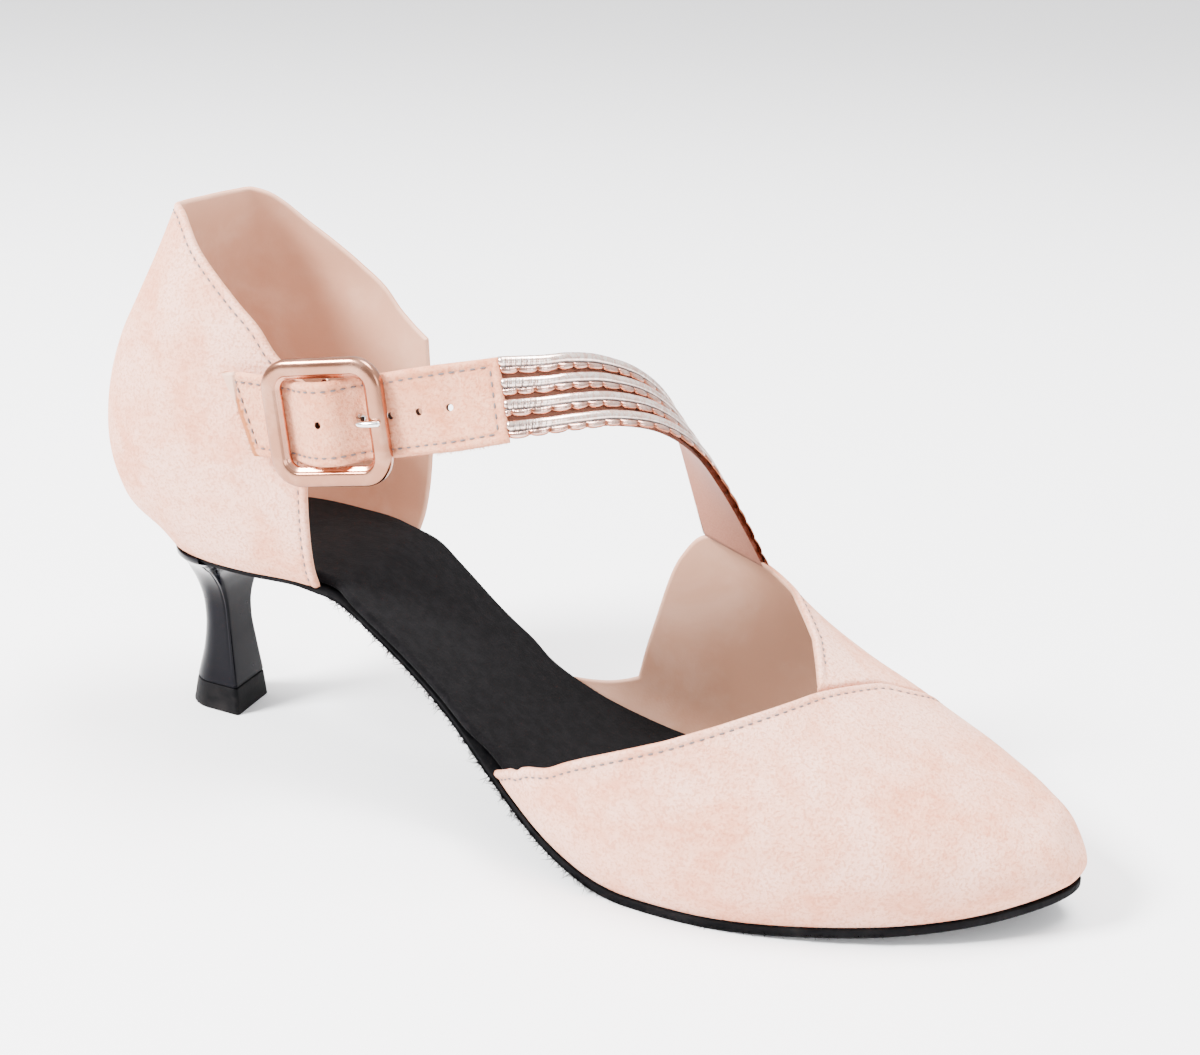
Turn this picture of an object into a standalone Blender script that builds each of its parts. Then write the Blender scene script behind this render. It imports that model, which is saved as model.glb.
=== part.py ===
"""Ballroom dance shoe, right foot: a closed-toe court shoe with an open waist, a buckled
instep strap that runs out into four scalloped tapes, and a slim flared heel.

+X points to the toe, +Y to the inner (medial) side and +Z up. The outer sole's underside
touches z = 0 under the ball of the foot, and so does the heel's top piece.
Lengths are in millimetres here and become metres when a mesh is made.
"""
import bpy
import bmesh
import numpy as np
from mathutils import Matrix

MM = 0.001
GAP = 0.3
SEAM_GAP = 0.6

# Driving sizes of the last
SHOE_LENGTH = 234.0
SEAT_SETBACK = 17.0
BALL_WIDTH = 76.4
SEAT_HEIGHT = 44.8
TOE_SPRING = 7.0
INSTEP_HEIGHT = 104.0
COUNTER_HEIGHT = 79.0

TOE_ROUND_WIDTH = 0.5 * BALL_WIDTH

# How the upper's sections bulge: millimetres, then shares and powers
WALL_BULGE = 2.2
TOE_BULGE = 1.5
WIDEST_HEIGHT = 9.0
WIDEST_SHARE = 0.35
CROWN_POWER = 0.87
LATERAL_POWER = 0.07
SIDE_POWER = 0.92

# Sole, insole and upper thicknesses
OUTSOLE_THICKNESS = 1.9
SEAT_SOLE_THICKNESS = 0.9
SEAT_EDGE_INSET = 0.9
INSOLE_THICKNESS = 2.6
UPPER_WALL = 1.4
FEATHER_INSET = 0.8
STRAP_THICKNESS = 1.8

# Open waist: how far its ends lie from the quarter's and the front's edges and how sharply
# they turn, in shares of the sole's length
WAIST_BACK = 0.025
WAIST_FRONT = 0.030
WAIST_TURN = 0.00625

# Tab round the centre bar: its way in shares and degrees
TAB_THICKNESS = 1.0
TAB_WIDTH = 13.0
TAB_SLOT = 2.2
TAB_WRAP = (-110, 140)
TAB_RUN = 0.85
TAB_RETURN = (0.25, 0.50)
TAB_SLOT_REACH = (-1.6, 3.0)

# Heel
HEEL_CENTRE_Y = 1.2
HEEL_TURN = 0.14
HEEL_CORNER = 0.14
TOP_PIECE_HEIGHT = 6.5

# Strap, tapes and buckle
STRAP_WIDTH = 18.0
HOLE_PITCH = 6.6
HOLE_DIAMETER = 1.5
PRONG_HOLE_DIAMETER = 2.2
TAPE_COUNT = 4
TAPE_CORD_DIAMETER = 2.2
TAPE_FLANGE_THICKNESS = 0.7
BUCKLE_LENGTH = 28.0
BUCKLE_WIDTH = 27.4
BUCKLE_BAR_WIDTH = 4.3
BUCKLE_BAR_THICKNESS = 3.2
BUCKLE_CORNER = 6.5
CENTRE_BAR_DIAMETER = 2.2
PRONG_DIAMETER = 1.3

SOLE_LENGTH = SHOE_LENGTH - SEAT_SETBACK


def table(columns, rows):
    """Named columns of a short table, each as an array."""
    return dict(zip(columns.split(), np.array(rows, float).T))


# Sole outline: along is a share of the sole's length, the sides are shares of the ball width
OUTLINE = table("along lateral medial", (
    (0.000, 0.000, 0.000),
    (0.012, -0.190, 0.190),
    (0.045, -0.276, 0.272),
    (0.098, -0.317, 0.312),
    (0.199, -0.312, 0.290),
    (0.290, -0.290, 0.228),
    (0.383, -0.318, 0.198),
    (0.452, -0.380, 0.255),
    (0.521, -0.450, 0.350),
    (0.590, -0.494, 0.435),
    (0.660, -0.505, 0.485),
    (0.728, -0.482, 0.482),
    (0.797, -0.422, 0.432),
    (0.866, -0.333, 0.355),
    (0.926, -0.222, 0.258),
    (0.973, -0.096, 0.158),
    (1.000, 0.055, 0.055),
))

# Underside of the outer sole: seat is a share of the seat height, spring of the toe spring
PROFILE = table("along seat spring", (
    (0.000, 1.034, 0.000),
    (0.070, 1.032, 0.000),
    (0.150, 1.028, 0.000),
    (0.210, 1.024, 0.000),
    (0.249, 0.990, 0.000),
    (0.290, 0.865, 0.000),
    (0.382, 0.568, 0.000),
    (0.475, 0.255, 0.000),
    (0.544, 0.083, 0.000),
    (0.594, 0.012, 0.000),
    (0.618, 0.000, 0.000),
    (0.696, 0.000, 0.000),
    (0.751, 0.000, 0.070),
    (0.806, 0.000, 0.170),
    (0.866, 0.000, 0.310),
    (0.926, 0.000, 0.540),
    (0.972, 0.000, 0.800),
    (1.000, 0.000, 1.000),
))

# Ridge of the last: height above z = 0 as a share of the instep height, side is the ridge's
# place across as a share of the ball width; its last side is that of the outline's tip
RIDGE = table("along height side", (
    (0.290, 1.150, 0.020),
    (0.392, 1.060, 0.040),
    (0.475, 0.990, 0.060),
    (0.524, 0.890, 0.080),
    (0.567, 0.780, 0.100),
    (0.613, 0.650, 0.120),
    (0.668, 0.515, 0.130),
    (0.742, 0.408, 0.130),
    (0.797, 0.360, 0.130),
    (0.853, 0.313, 0.120),
    (0.908, 0.270, 0.110),
    (0.954, 0.230, 0.095),
    (0.982, 0.196, 0.075),
    (1.000, 0.145, OUTLINE["medial"][-1]),
))

# Front panel's back edge: across runs from the lateral feather edge (-1) over the ridge (0)
# to the medial one (1), along is a share of the sole's length
PANEL_EDGE = table("across along", (
    (-1.000, 0.453),
    (-0.940, 0.463),
    (-0.880, 0.474),
    (-0.810, 0.499),
    (-0.745, 0.548),
    (-0.675, 0.590),
    (-0.580, 0.635),
    (-0.465, 0.673),
    (-0.345, 0.705),
    (-0.235, 0.729),
    (-0.140, 0.746),
    (-0.065, 0.762),
    (0.020, 0.782),
    (0.100, 0.800),
    (0.280, 0.816),
    (0.500, 0.820),
    (0.750, 0.806),
    (1.000, 0.783),
))

# Inner wing's top and back edge, from the throat round to the waist
WING_EDGE = table("across along", (
    (-0.140, 0.743),
    (-0.055, 0.726),
    (0.040, 0.702),
    (0.145, 0.679),
    (0.300, 0.650),
    (0.400, 0.608),
    (0.480, 0.562),
    (0.580, 0.530),
    (0.720, 0.502),
    (0.860, 0.470),
    (1.000, 0.429),
))

# Counter wall: height is a share of the counter height; back and side are how far the wall
# stands outside the sole's edge there, as shares of the ball width
COUNTER = table("height back side", (
    (0.000, -0.010, -0.010),
    (0.045, 0.032, 0.014),
    (0.110, 0.122, 0.033),
    (0.200, 0.174, 0.046),
    (0.300, 0.196, 0.050),
    (0.400, 0.194, 0.046),
    (0.490, 0.178, 0.040),
    (0.615, 0.134, 0.030),
    (0.740, 0.066, 0.012),
    (0.870, -0.002, -0.030),
    (1.030, -0.074, -0.092),
))

# Counter's top line: round is the share of the way from the middle of the back to the front
COUNTER_TOP = table("round height", (
    (0.000, 0.992),
    (0.150, 0.995),
    (0.280, 0.998),
    (0.360, 0.985),
    (0.420, 0.960),
    (0.520, 0.900),
    (0.620, 0.845),
    (0.720, 0.785),
    (0.820, 0.718),
    (0.870, 0.668),
    (0.920, 0.635),
    (1.000, 0.600),
))
COUNTER_FRONT = 0.230
COUNTER_ROW_CROWDING = 1.15
COUNTER_BACK_FOCUS = 1.5

# Heel sections: height is a share of the seat height, the rest are shares of the ball width
HEEL = table("height back breast half_width", (
    (0.000, -0.055, 0.165, 0.098),
    (0.148, -0.034, 0.157, 0.090),
    (0.335, -0.003, 0.143, 0.076),
    (0.490, 0.008, 0.133, 0.067),
    (0.625, 0.003, 0.134, 0.073),
    (0.735, -0.011, 0.145, 0.102),
    (0.825, -0.022, 0.166, 0.149),
    (0.910, -0.020, 0.206, 0.216),
    (1.000, 0.004, 0.264, 0.300),
))

# Strap's way through the buckle: along, up and out from the buckle's middle
STRAP_WAY = table("along up out", (
    (-23.0, 1.5, -2.4),
    (-20.0, 1.2, -1.8),
    (-16.0, 0.8, -1.0),
    (-11.6, 0.4, 0.0),
    (-9.0, 0.2, 0.5),
    (-5.5, 0.0, 2.7),
    (-2.5, 0.0, 4.3),
    (0.0, 0.0, 4.7),
    (2.5, 0.0, 4.0),
    (4.6, 0.0, 1.9),
    (6.8, 0.1, 0.4),
    (10.0, 0.3, 0.0),
    (14.0, 0.6, 0.1),
    (20.0, 1.2, 0.2),
    (27.0, 1.7, -0.4),
    (33.0, 2.1, -1.6),
    (38.0, 2.4, -3.1),
))
BUCKLE_PLACE = np.array([0.326 * SHOE_LENGTH, -0.380 * BALL_WIDTH, 0.853 * INSTEP_HEIGHT])
BUCKLE_FORWARD = np.array([0.980, 0.138, 0.150])
BUCKLE_UP = np.array([-0.185, 0.000, 0.982])
STRAP_END_UP = np.array([-0.370, 0.340, 0.860])
PRONG_HOLE_ALONG = 6.9
FIRST_HOLE_ALONG = 13.8
WINDOW_HOLE_ALONG = -0.8
FREE_END_SLANT = 6.0
FRAME_OUT = STRAP_THICKNESS / 2 + GAP + BUCKLE_BAR_THICKNESS / 2
BAR_OUT = 0.75
PRONG_EYE = (200, -80)

# Prong's way on from its eye on the centre bar: under the strap, up and over the far bar
PRONG_WAY = table("along out", (
    (1.6, -1.2),
    (3.2, -1.6),
    (4.9, -1.8),
    (6.1, -1.4),
    (6.7, -0.4),
    (6.9, 0.9),
    (7.1, 2.3),
    (7.5, 3.9),
    (8.6, 5.2),
    (10.4, 5.6),
    (12.2, 5.5),
    (13.6, 5.2),
))

# Tapes' route: upper and lower edge of the four together, as shares of the shoe's length,
# the ball width and the instep height
TAPE_ROUTE = table("x_top y_top z_top x_low y_low z_low", (
    (0.496, -0.160, 1.000, 0.520, -0.268, 0.870),
    (0.511, -0.085, 0.996, 0.541, -0.185, 0.875),
    (0.524, 0.026, 0.978, 0.563, -0.079, 0.870),
    (0.542, 0.150, 0.935, 0.588, 0.035, 0.846),
    (0.557, 0.255, 0.860, 0.606, 0.150, 0.790),
    (0.566, 0.325, 0.760, 0.622, 0.245, 0.700),
))
TAPE_LANDING = {"_top": 0.50, "_low": 0.33}
TAPE_CLEARANCE = 1.5


def smooth(at, xs, ys):
    """Cubic curve through a table's rows, with each row's slope taken from its neighbours."""
    at = np.clip(at, xs[0], xs[-1])
    steps = np.diff(xs)
    rates = np.diff(ys) / steps
    slopes = np.empty_like(ys)
    slopes[1:-1] = (rates[:-1] * steps[1:] + rates[1:] * steps[:-1]) / (steps[1:] + steps[:-1])
    slopes[0] = 1.5 * rates[0] - 0.5 * slopes[1]
    slopes[-1] = 1.5 * rates[-1] - 0.5 * slopes[-2]
    row = np.clip(np.searchsorted(xs, at, side="right") - 1, 0, len(steps) - 1)
    width = steps[row]
    u = (at - xs[row]) / width
    keep = (1 + 2 * u) * (1 - u) ** 2 * ys[row] + u * u * (3 - 2 * u) * ys[row + 1]
    lean = u * (1 - u) ** 2 * slopes[row] - u * u * (1 - u) * slopes[row + 1]
    return keep + width * lean


def unit(vectors):
    """Vectors made one long, along the last axis."""
    return vectors / np.maximum(np.linalg.norm(vectors, axis=-1, keepdims=True), 1e-9)


def round_share(along):
    """Share of the length turned into an angle, so that both ends of the outline are round."""
    return np.arccos(np.clip(1 - 2 * along, -1, 1))


def sole_sides(along):
    """Lateral and medial edge of the sole across the shoe, at a share of its length."""
    angle = round_share(along)
    angles = round_share(OUTLINE["along"])
    lateral = BALL_WIDTH * smooth(angle, angles, OUTLINE["lateral"])
    medial = BALL_WIDTH * smooth(angle, angles, OUTLINE["medial"])
    return lateral, medial


def sole_underside(along):
    """Height of the outer sole's underside."""
    seat = SEAT_HEIGHT * smooth(along, PROFILE["along"], PROFILE["seat"])
    spring = TOE_SPRING * smooth(along, PROFILE["along"], PROFILE["spring"])
    return np.maximum(seat, 0) + np.maximum(spring, 0)


def forward(along):
    """Place along the shoe of a share of the sole's length."""
    return SEAT_SETBACK + SOLE_LENGTH * along


def share_of_sole(x):
    """Share of the sole's length of a place along the shoe."""
    return np.clip((x - SEAT_SETBACK) / SOLE_LENGTH, 0, 1)


def outsole_thickness(along):
    """Outer sole's thickness: thin under the heel seat, full from the waist on."""
    share = np.clip((along - COUNTER_FRONT) / (PANEL_EDGE["along"][0] - COUNTER_FRONT), 0, 1)
    return SEAT_SOLE_THICKNESS + (OUTSOLE_THICKNESS - SEAT_SOLE_THICKNESS) * share


def feather_height(along):
    """Height at which the upper stands on the outer sole."""
    return sole_underside(along) + outsole_thickness(along) + GAP


def last_surface(across, along):
    """Point of the upper's outer face.

    across runs -1..1 from the lateral feather edge over the ridge to the medial one. Each
    section is two quarter ovals that meet on the ridge. Below its widest line the wall tucks
    in to the feather edge. Round the toe the inset and the bulge turn from sideways to
    forward, so that both sides close on one upright line.
    """
    lateral, medial = sole_sides(along)
    sideways = np.clip((medial - lateral) / TOE_ROUND_WIDTH, 0, 1)
    inner_side = np.where(across < 0, -1, 1)
    side = np.where(across < 0, lateral, medial) - inner_side * FEATHER_INSET * sideways
    base = feather_height(along)
    top = INSTEP_HEIGHT * smooth(along, RIDGE["along"], RIDGE["height"])
    ridge = BALL_WIDTH * smooth(along, RIDGE["along"], RIDGE["side"])
    reach = side - ridge
    tuck = WALL_BULGE / np.maximum(np.abs(reach), 2 * WALL_BULGE)
    tuck_angle = np.arccos(1 / (1 + tuck))
    angle = np.pi / 2 - np.abs(across) * (np.pi / 2 + tuck_angle)
    low_line = base + np.minimum(WIDEST_HEIGHT, WIDEST_SHARE * (top - base))
    power = CROWN_POWER - inner_side * LATERAL_POWER * sideways
    lift = np.sin(np.maximum(angle, 0)) ** power
    drop = np.sin(np.minimum(angle, 0)) / np.sin(tuck_angle)
    height = low_line + (top - low_line) * lift + (low_line - base) * drop
    y = ridge + reach * (1 + tuck) * np.cos(angle) ** SIDE_POWER
    level = (height - base) / (top - base)
    ahead = (1 - sideways ** 2) * (TOE_BULGE * np.sin(np.pi * level) - FEATHER_INSET)
    return np.stack([forward(along) + ahead, y, height], axis=-1)


def panel_surface():
    """Grid of the front panel's outer face: rows across, columns from its edge to the toe."""
    across = np.linspace(-1, 1, 33)[:, None]
    step = np.linspace(0, 1, 20)[None, :]
    edge = smooth(across, PANEL_EDGE["across"], PANEL_EDGE["along"])
    along = edge + (1 - edge) * np.sin(step * np.pi / 2)
    return last_surface(across + 0 * along, along)


def wing_surface():
    """Grid of the inner wing's outer face, between its own edge and the front panel's."""
    across = np.linspace(WING_EDGE["across"][0], 1, 19)[:, None]
    step = np.linspace(0, 1, 9)[None, :]
    back = smooth(across, WING_EDGE["across"], WING_EDGE["along"])
    front = smooth(across, PANEL_EDGE["across"], PANEL_EDGE["along"]) - SEAM_GAP / SOLE_LENGTH
    along = back + (front - back) * step
    return last_surface(across + 0 * along, along)


def grid_normals(grid):
    """Unit normals of a grid of points, from the slopes along its rows and columns."""
    along_rows = np.gradient(grid, axis=0)
    along_columns = np.gradient(grid, axis=1)
    return unit(np.cross(along_columns, along_rows))


def new_object(name, vertices, faces, material, smooth_shade=True):
    """Mesh object from points in millimetres, merged, cleaned and facing outwards."""
    mesh = bpy.data.meshes.new(name)
    mesh.from_pydata([tuple(p) for p in np.asarray(vertices) * MM], [], faces)
    work = bmesh.new()
    work.from_mesh(mesh)
    bmesh.ops.remove_doubles(work, verts=work.verts, dist=1e-6)
    bmesh.ops.dissolve_degenerate(work, edges=work.edges, dist=1e-7)
    bmesh.ops.triangulate(work, faces=work.faces)
    bmesh.ops.recalc_face_normals(work, faces=work.faces)
    if work.calc_volume(signed=True) < 0:
        bmesh.ops.reverse_faces(work, faces=work.faces)
    work.to_mesh(mesh)
    work.free()
    item = bpy.data.objects.new(name, mesh)
    item.data.materials.append(material)
    bpy.context.scene.collection.objects.link(item)
    if smooth_shade:
        mesh.shade_smooth()
        mesh.set_sharp_from_angle(angle=np.radians(40))
    return item


def grid_faces(rows, columns, first=0, flip=False):
    """Quads of a grid whose points are numbered row by row."""
    corner = first + np.arange(rows - 1)[:, None] * columns + np.arange(columns - 1)[None, :]
    quads = np.stack([corner, corner + 1, corner + columns + 1, corner + columns], axis=-1)
    quads = quads.reshape(-1, 4)
    return (quads[:, ::-1] if flip else quads).tolist()


def shell(name, outer, inner, material, folded=False):
    """Closed wall between two grids of the same size, with a rim all round.

    A folded grid's last column is one line gone up and down, so it needs no rim there.
    """
    rows, columns = outer.shape[:2]
    count = rows * columns
    number = np.arange(count).reshape(rows, columns)
    last = number[1:, -1][:0 if folded else None]
    rim = np.concatenate([number[0, :], last, number[-1, -2::-1], number[-2:0:-1, 0]])
    after = np.roll(rim, -1)
    sides = np.stack([rim, rim + count, after + count, after], axis=-1).tolist()
    faces = grid_faces(rows, columns) + grid_faces(rows, columns, count, True) + sides
    points = np.concatenate([outer.reshape(-1, 3), inner.reshape(-1, 3)])
    return new_object(name, points, faces, material)


def loft(name, sections, material):
    """Closed solid through rings of points, with flat ends."""
    rings, count = sections.shape[:2]
    ring = np.arange(count)
    after = np.roll(ring, -1)
    faces = []
    for level in range(rings - 1):
        low = level * count
        faces += np.stack([low + ring, low + after, low + count + after, low + count + ring],
                          axis=-1).tolist()
    faces.append(ring[::-1].tolist())
    faces.append(((rings - 1) * count + ring).tolist())
    return new_object(name, sections.reshape(-1, 3), faces, material)


def material(name, colour, roughness, metallic=0.0):
    """Plain Principled material."""
    made = bpy.data.materials.new(name)
    made.use_nodes = True
    shader = made.node_tree.nodes["Principled BSDF"]
    shader.inputs["Base Color"].default_value = (*colour, 1.0)
    shader.inputs["Roughness"].default_value = roughness
    shader.inputs["Metallic"].default_value = metallic
    return made


def sole_edge(stations, lateral_inset, medial_inset):
    """Both edges of the sole at shares of its length, moved in along their own normals."""
    lateral, medial = sole_sides(stations)
    x = forward(stations)
    loop = np.stack([np.concatenate([x, x[-2:0:-1]]),
                     np.concatenate([lateral, medial[-2:0:-1]])], axis=-1)
    ahead = unit(np.roll(loop, -1, axis=0) - np.roll(loop, 1, axis=0))
    inward = np.stack([-ahead[:, 1], ahead[:, 0]], axis=-1)
    depth = np.concatenate([lateral_inset, medial_inset[-2:0:-1]])[:, None]
    moved = loop + inward * depth
    count = len(stations)
    other = np.concatenate([moved[:1], moved[:count - 2:-1]])
    return moved[:count], other


def sole_layer(name, inset, levels, finish):
    """Layer of the sole that follows its profile, its edge set in from the outer sole's.

    levels gives the heights of its lower and upper face at shares of the sole's length.
    """
    stations = 0.5 - 0.5 * np.cos(np.linspace(0, np.pi, 57))
    lateral, medial = sole_edge(stations, inset(stations, PANEL_EDGE["along"][0]),
                                inset(stations, WING_EDGE["along"][-1]))
    across = np.linspace(0, 1, 5)[None, :, None]
    plan = lateral[:, None, :] + (medial - lateral)[:, None, :] * across
    low, high = levels(share_of_sole(plan[..., :1]))
    upper_face = np.concatenate([plan, high], axis=-1)
    lower_face = np.concatenate([plan, low], axis=-1)
    shell(name, upper_face, lower_face, finish)


def outsole_inset(share, _):
    """Outer sole's edge: the outline itself, drawn in a little under the heel seat."""
    return SEAT_EDGE_INSET * np.clip((COUNTER_FRONT - share) / WAIST_BACK, 0, 1)


def outsole_levels(share):
    """Lower and upper face of the outer sole."""
    return sole_underside(share), sole_underside(share) + outsole_thickness(share)


def insole_levels(share):
    """Lower and upper face of the insole."""
    return feather_height(share), feather_height(share) + INSOLE_THICKNESS


def insole_inset(share, front):
    """Insole's edge: inside the upper's wall, and out to the sole's edge in the open waist."""
    closed = FEATHER_INSET + UPPER_WALL + 3 * GAP
    open_back = 1 / (1 + np.exp((COUNTER_FRONT + WAIST_BACK - share) / WAIST_TURN))
    open_front = 1 / (1 + np.exp((share - front + WAIST_FRONT) / WAIST_TURN))
    return closed - (closed - GAP) * open_back * open_front


def walled(name, grid, finish, base_rows=(), base_columns=()):
    """Upper piece with the upper's wall inside its outer face, flat where it stands."""
    inner = grid - UPPER_WALL * grid_normals(grid)
    for row in base_rows:
        inner[row, :, 2] = grid[row, :, 2]
    for column in base_columns:
        inner[:, column, 2] = grid[:, column, 2]
    return shell(name, grid, inner, finish)


def make_front(finish):
    """Front panel, closed round the toe, and the inner wing behind it."""
    grid = panel_surface()
    inner = grid - UPPER_WALL * grid_normals(grid)
    inner[[0, -1], :, 2] = grid[[0, -1], :, 2]
    inner[:, -1] = grid[:, -1] - np.array([UPPER_WALL, 0, 0])
    shell("vamp", grid, inner, finish, folded=True)
    walled("vamp_medial_wing", wing_surface(), finish, base_rows=(-1,))


def counter_round(turns):
    """Sole's edge round the heel seat from lateral front (-1) to medial front (1).

    Returns points, outward normals and shares of the sole's length.
    """
    shares = COUNTER_FRONT * np.linspace(1, 0, 161) ** 2
    lateral, medial = sole_sides(shares)
    x = forward(shares)
    points = np.concatenate([np.stack([x, lateral], axis=-1),
                             np.stack([x, medial], axis=-1)[-2::-1]])
    middle = len(shares) - 1
    length = np.concatenate([[0], np.cumsum(np.linalg.norm(np.diff(points, axis=0), axis=1))])
    turn = np.where(length < length[middle], length / length[middle] - 1,
                    (length - length[middle]) / (length[-1] - length[middle]))
    place = np.stack([np.interp(turns, turn, points[:, i]) for i in (0, 1)], axis=-1)
    step = 0.02
    ahead = unit(np.stack([np.interp(turns + step, turn, points[:, i])
                           - np.interp(turns - step, turn, points[:, i]) for i in (0, 1)],
                          axis=-1))
    outward = np.stack([ahead[:, 1], -ahead[:, 0]], axis=-1)
    return place, -outward, share_of_sole(place[:, 0])


def counter_surface(rows=43, columns=11):
    """Outer face of the quarter: the seat's edge, carried up and pushed out by the table."""
    turns = np.linspace(-1, 1, rows)
    place, outward, shares = counter_round(turns)
    top = smooth(np.abs(turns), COUNTER_TOP["round"], COUNTER_TOP["height"])
    level = top[:, None] * np.linspace(0, 1, columns)[None, :] ** COUNTER_ROW_CROWDING
    back = BALL_WIDTH * smooth(level, COUNTER["height"], COUNTER["back"])
    side = BALL_WIDTH * smooth(level, COUNTER["height"], COUNTER["side"])
    rearness = np.clip(-outward[:, :1], 0, 1) ** COUNTER_BACK_FOCUS
    out = side + (back - side) * rearness
    plan = place[:, None, :] + outward[:, None, :] * out[..., None]
    height = feather_height(shares)[:, None] + COUNTER_HEIGHT * level
    return np.concatenate([plan, height[..., None]], axis=-1)


def heel_ring(height):
    """Ring of the heel at a share of the seat height: round behind, flat in front."""
    back, breast, half = (BALL_WIDTH * smooth(height, HEEL["height"], HEEL[name])
                          for name in ("back", "breast", "half_width"))
    corner = HEEL_CORNER * half
    depth = breast - back - corner
    round_length = np.minimum(half, depth)
    turn = np.linspace(-np.pi / 2, np.pi / 2, 17)
    x = back + round_length * (1 - np.cos(turn))
    y = half * np.sin(turn)
    fillet = np.linspace(0, np.pi / 2, 4)
    fillet_x = breast - corner + corner * np.sin(fillet)
    fillet_y = half - corner + corner * np.cos(fillet)
    x = np.concatenate([x, fillet_x, fillet_x[::-1]])
    y = np.concatenate([y, fillet_y, -fillet_y[::-1]])
    x = SEAT_SETBACK + x - HEEL_TURN * y * (1 - height)
    y = HEEL_CENTRE_Y * (1 - height) + y
    z = height * (sole_underside(share_of_sole(x)) - GAP)
    return np.stack([x, y, z], axis=-1)


def make_heel(gloss, rubber):
    """Flared heel and the tread piece under it."""
    split = TOP_PIECE_HEIGHT / SEAT_HEIGHT
    heights = np.linspace(split + GAP / SEAT_HEIGHT, 1, 17)
    loft("heel", np.array([heel_ring(height) for height in heights]), gloss)
    loft("top_piece", np.array([heel_ring(height) for height in (0, 0.5 * split, split)]), rubber)


def buckle_axes():
    """Buckle's directions along the strap, up its width and outward, as rows."""
    along = unit(BUCKLE_FORWARD)
    outward = unit(np.cross(along, BUCKLE_UP))
    return np.stack([along, np.cross(outward, along), outward])


def from_buckle(points):
    """Points along, up and out from the buckle's middle, put in their place on the shoe."""
    return BUCKLE_PLACE + np.asarray(points, float) @ buckle_axes()


def strap_middle(along):
    """Middle line of the strap at places along it."""
    rise, out = (smooth(along, STRAP_WAY["along"], STRAP_WAY[name]) for name in ("up", "out"))
    return from_buckle(np.stack([along, rise, out], axis=-1))


def strap_frames(along):
    """Middle line, up and outward directions of the strap at places along it."""
    step = 0.2
    first, last = STRAP_WAY["along"][[0, -1]]
    before = np.maximum(along - step, first)
    after = np.minimum(along + step, last)
    ahead = unit(strap_middle(after) - strap_middle(before))
    start = BUCKLE_LENGTH / 2
    share = np.clip((along - start) / (last - start), 0, 1)
    share = (share * share * (3 - 2 * share))[..., None]
    up = unit(buckle_axes()[1] * (1 - share) + unit(STRAP_END_UP) * share)
    outward = unit(np.cross(ahead, up))
    return strap_middle(along), np.cross(outward, ahead), outward


def strap_sheet(level):
    """Grid of the strap at a level through its thickness: rows along it, columns up."""
    across = np.linspace(-0.5, 0.5, 5)
    rows = []
    for column in across:
        end = STRAP_WAY["along"][0] - FREE_END_SLANT * column
        along = end + (STRAP_WAY["along"][-1] - end) * np.linspace(0, 1, 49)
        middle, up, outward = strap_frames(along)
        rows.append(middle + up * STRAP_WIDTH * column + outward * level)
    return np.stack(rows, axis=1)


def tube(name, path, half_wide, half_thick, up, finish, closed=False, sides=12):
    """Solid of oval section along a path; up gives the section's wide direction."""
    path = np.asarray(path, float)
    if closed:
        ahead = unit(np.roll(path, -1, axis=0) - np.roll(path, 1, axis=0))
    else:
        ahead = unit(np.gradient(path, axis=0))
    wide = unit(np.cross(up, ahead))
    thick = np.cross(ahead, wide)
    turn = np.linspace(0, 2 * np.pi, sides, endpoint=False)[None, :, None]
    rings = (path[:, None, :] + wide[:, None, :] * half_wide * np.cos(turn)
             + thick[:, None, :] * half_thick * np.sin(turn))
    if not closed:
        return loft(name, rings, finish)
    count = len(path)
    number = np.arange(count * sides).reshape(count, sides)
    after = np.roll(number, -1, axis=0)
    faces = np.stack([number, np.roll(number, -1, axis=1), np.roll(after, -1, axis=1), after],
                     axis=-1).reshape(-1, 4)
    return new_object(name, rings.reshape(-1, 3), faces.tolist(), finish)


def rounded_loop(length, width, corner, steps=7):
    """Closed path round a rectangle with round corners, middle at the origin."""
    turn = np.linspace(0, np.pi / 2, steps)
    points = []
    for quarter_turn, (sx, sy) in enumerate(((1, 1), (-1, 1), (-1, -1), (1, -1))):
        angle = turn + quarter_turn * np.pi / 2
        x = sx * (length / 2 - corner) + corner * np.cos(angle)
        y = sy * (width / 2 - corner) + corner * np.sin(angle)
        points.append(np.stack([x, y], axis=-1))
    return np.concatenate(points)


def cut(item, name, vertices, faces):
    """Takes a hidden cutter away from a solid."""
    plain = item.data.materials[0]
    cutter = new_object(name, vertices, faces, plain, smooth_shade=False)
    cutter.hide_render = True
    cutter.display_type = "WIRE"
    taken = item.modifiers.new(name, "BOOLEAN")
    taken.operation = "DIFFERENCE"
    taken.solver = "EXACT"
    taken.object = cutter


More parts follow.
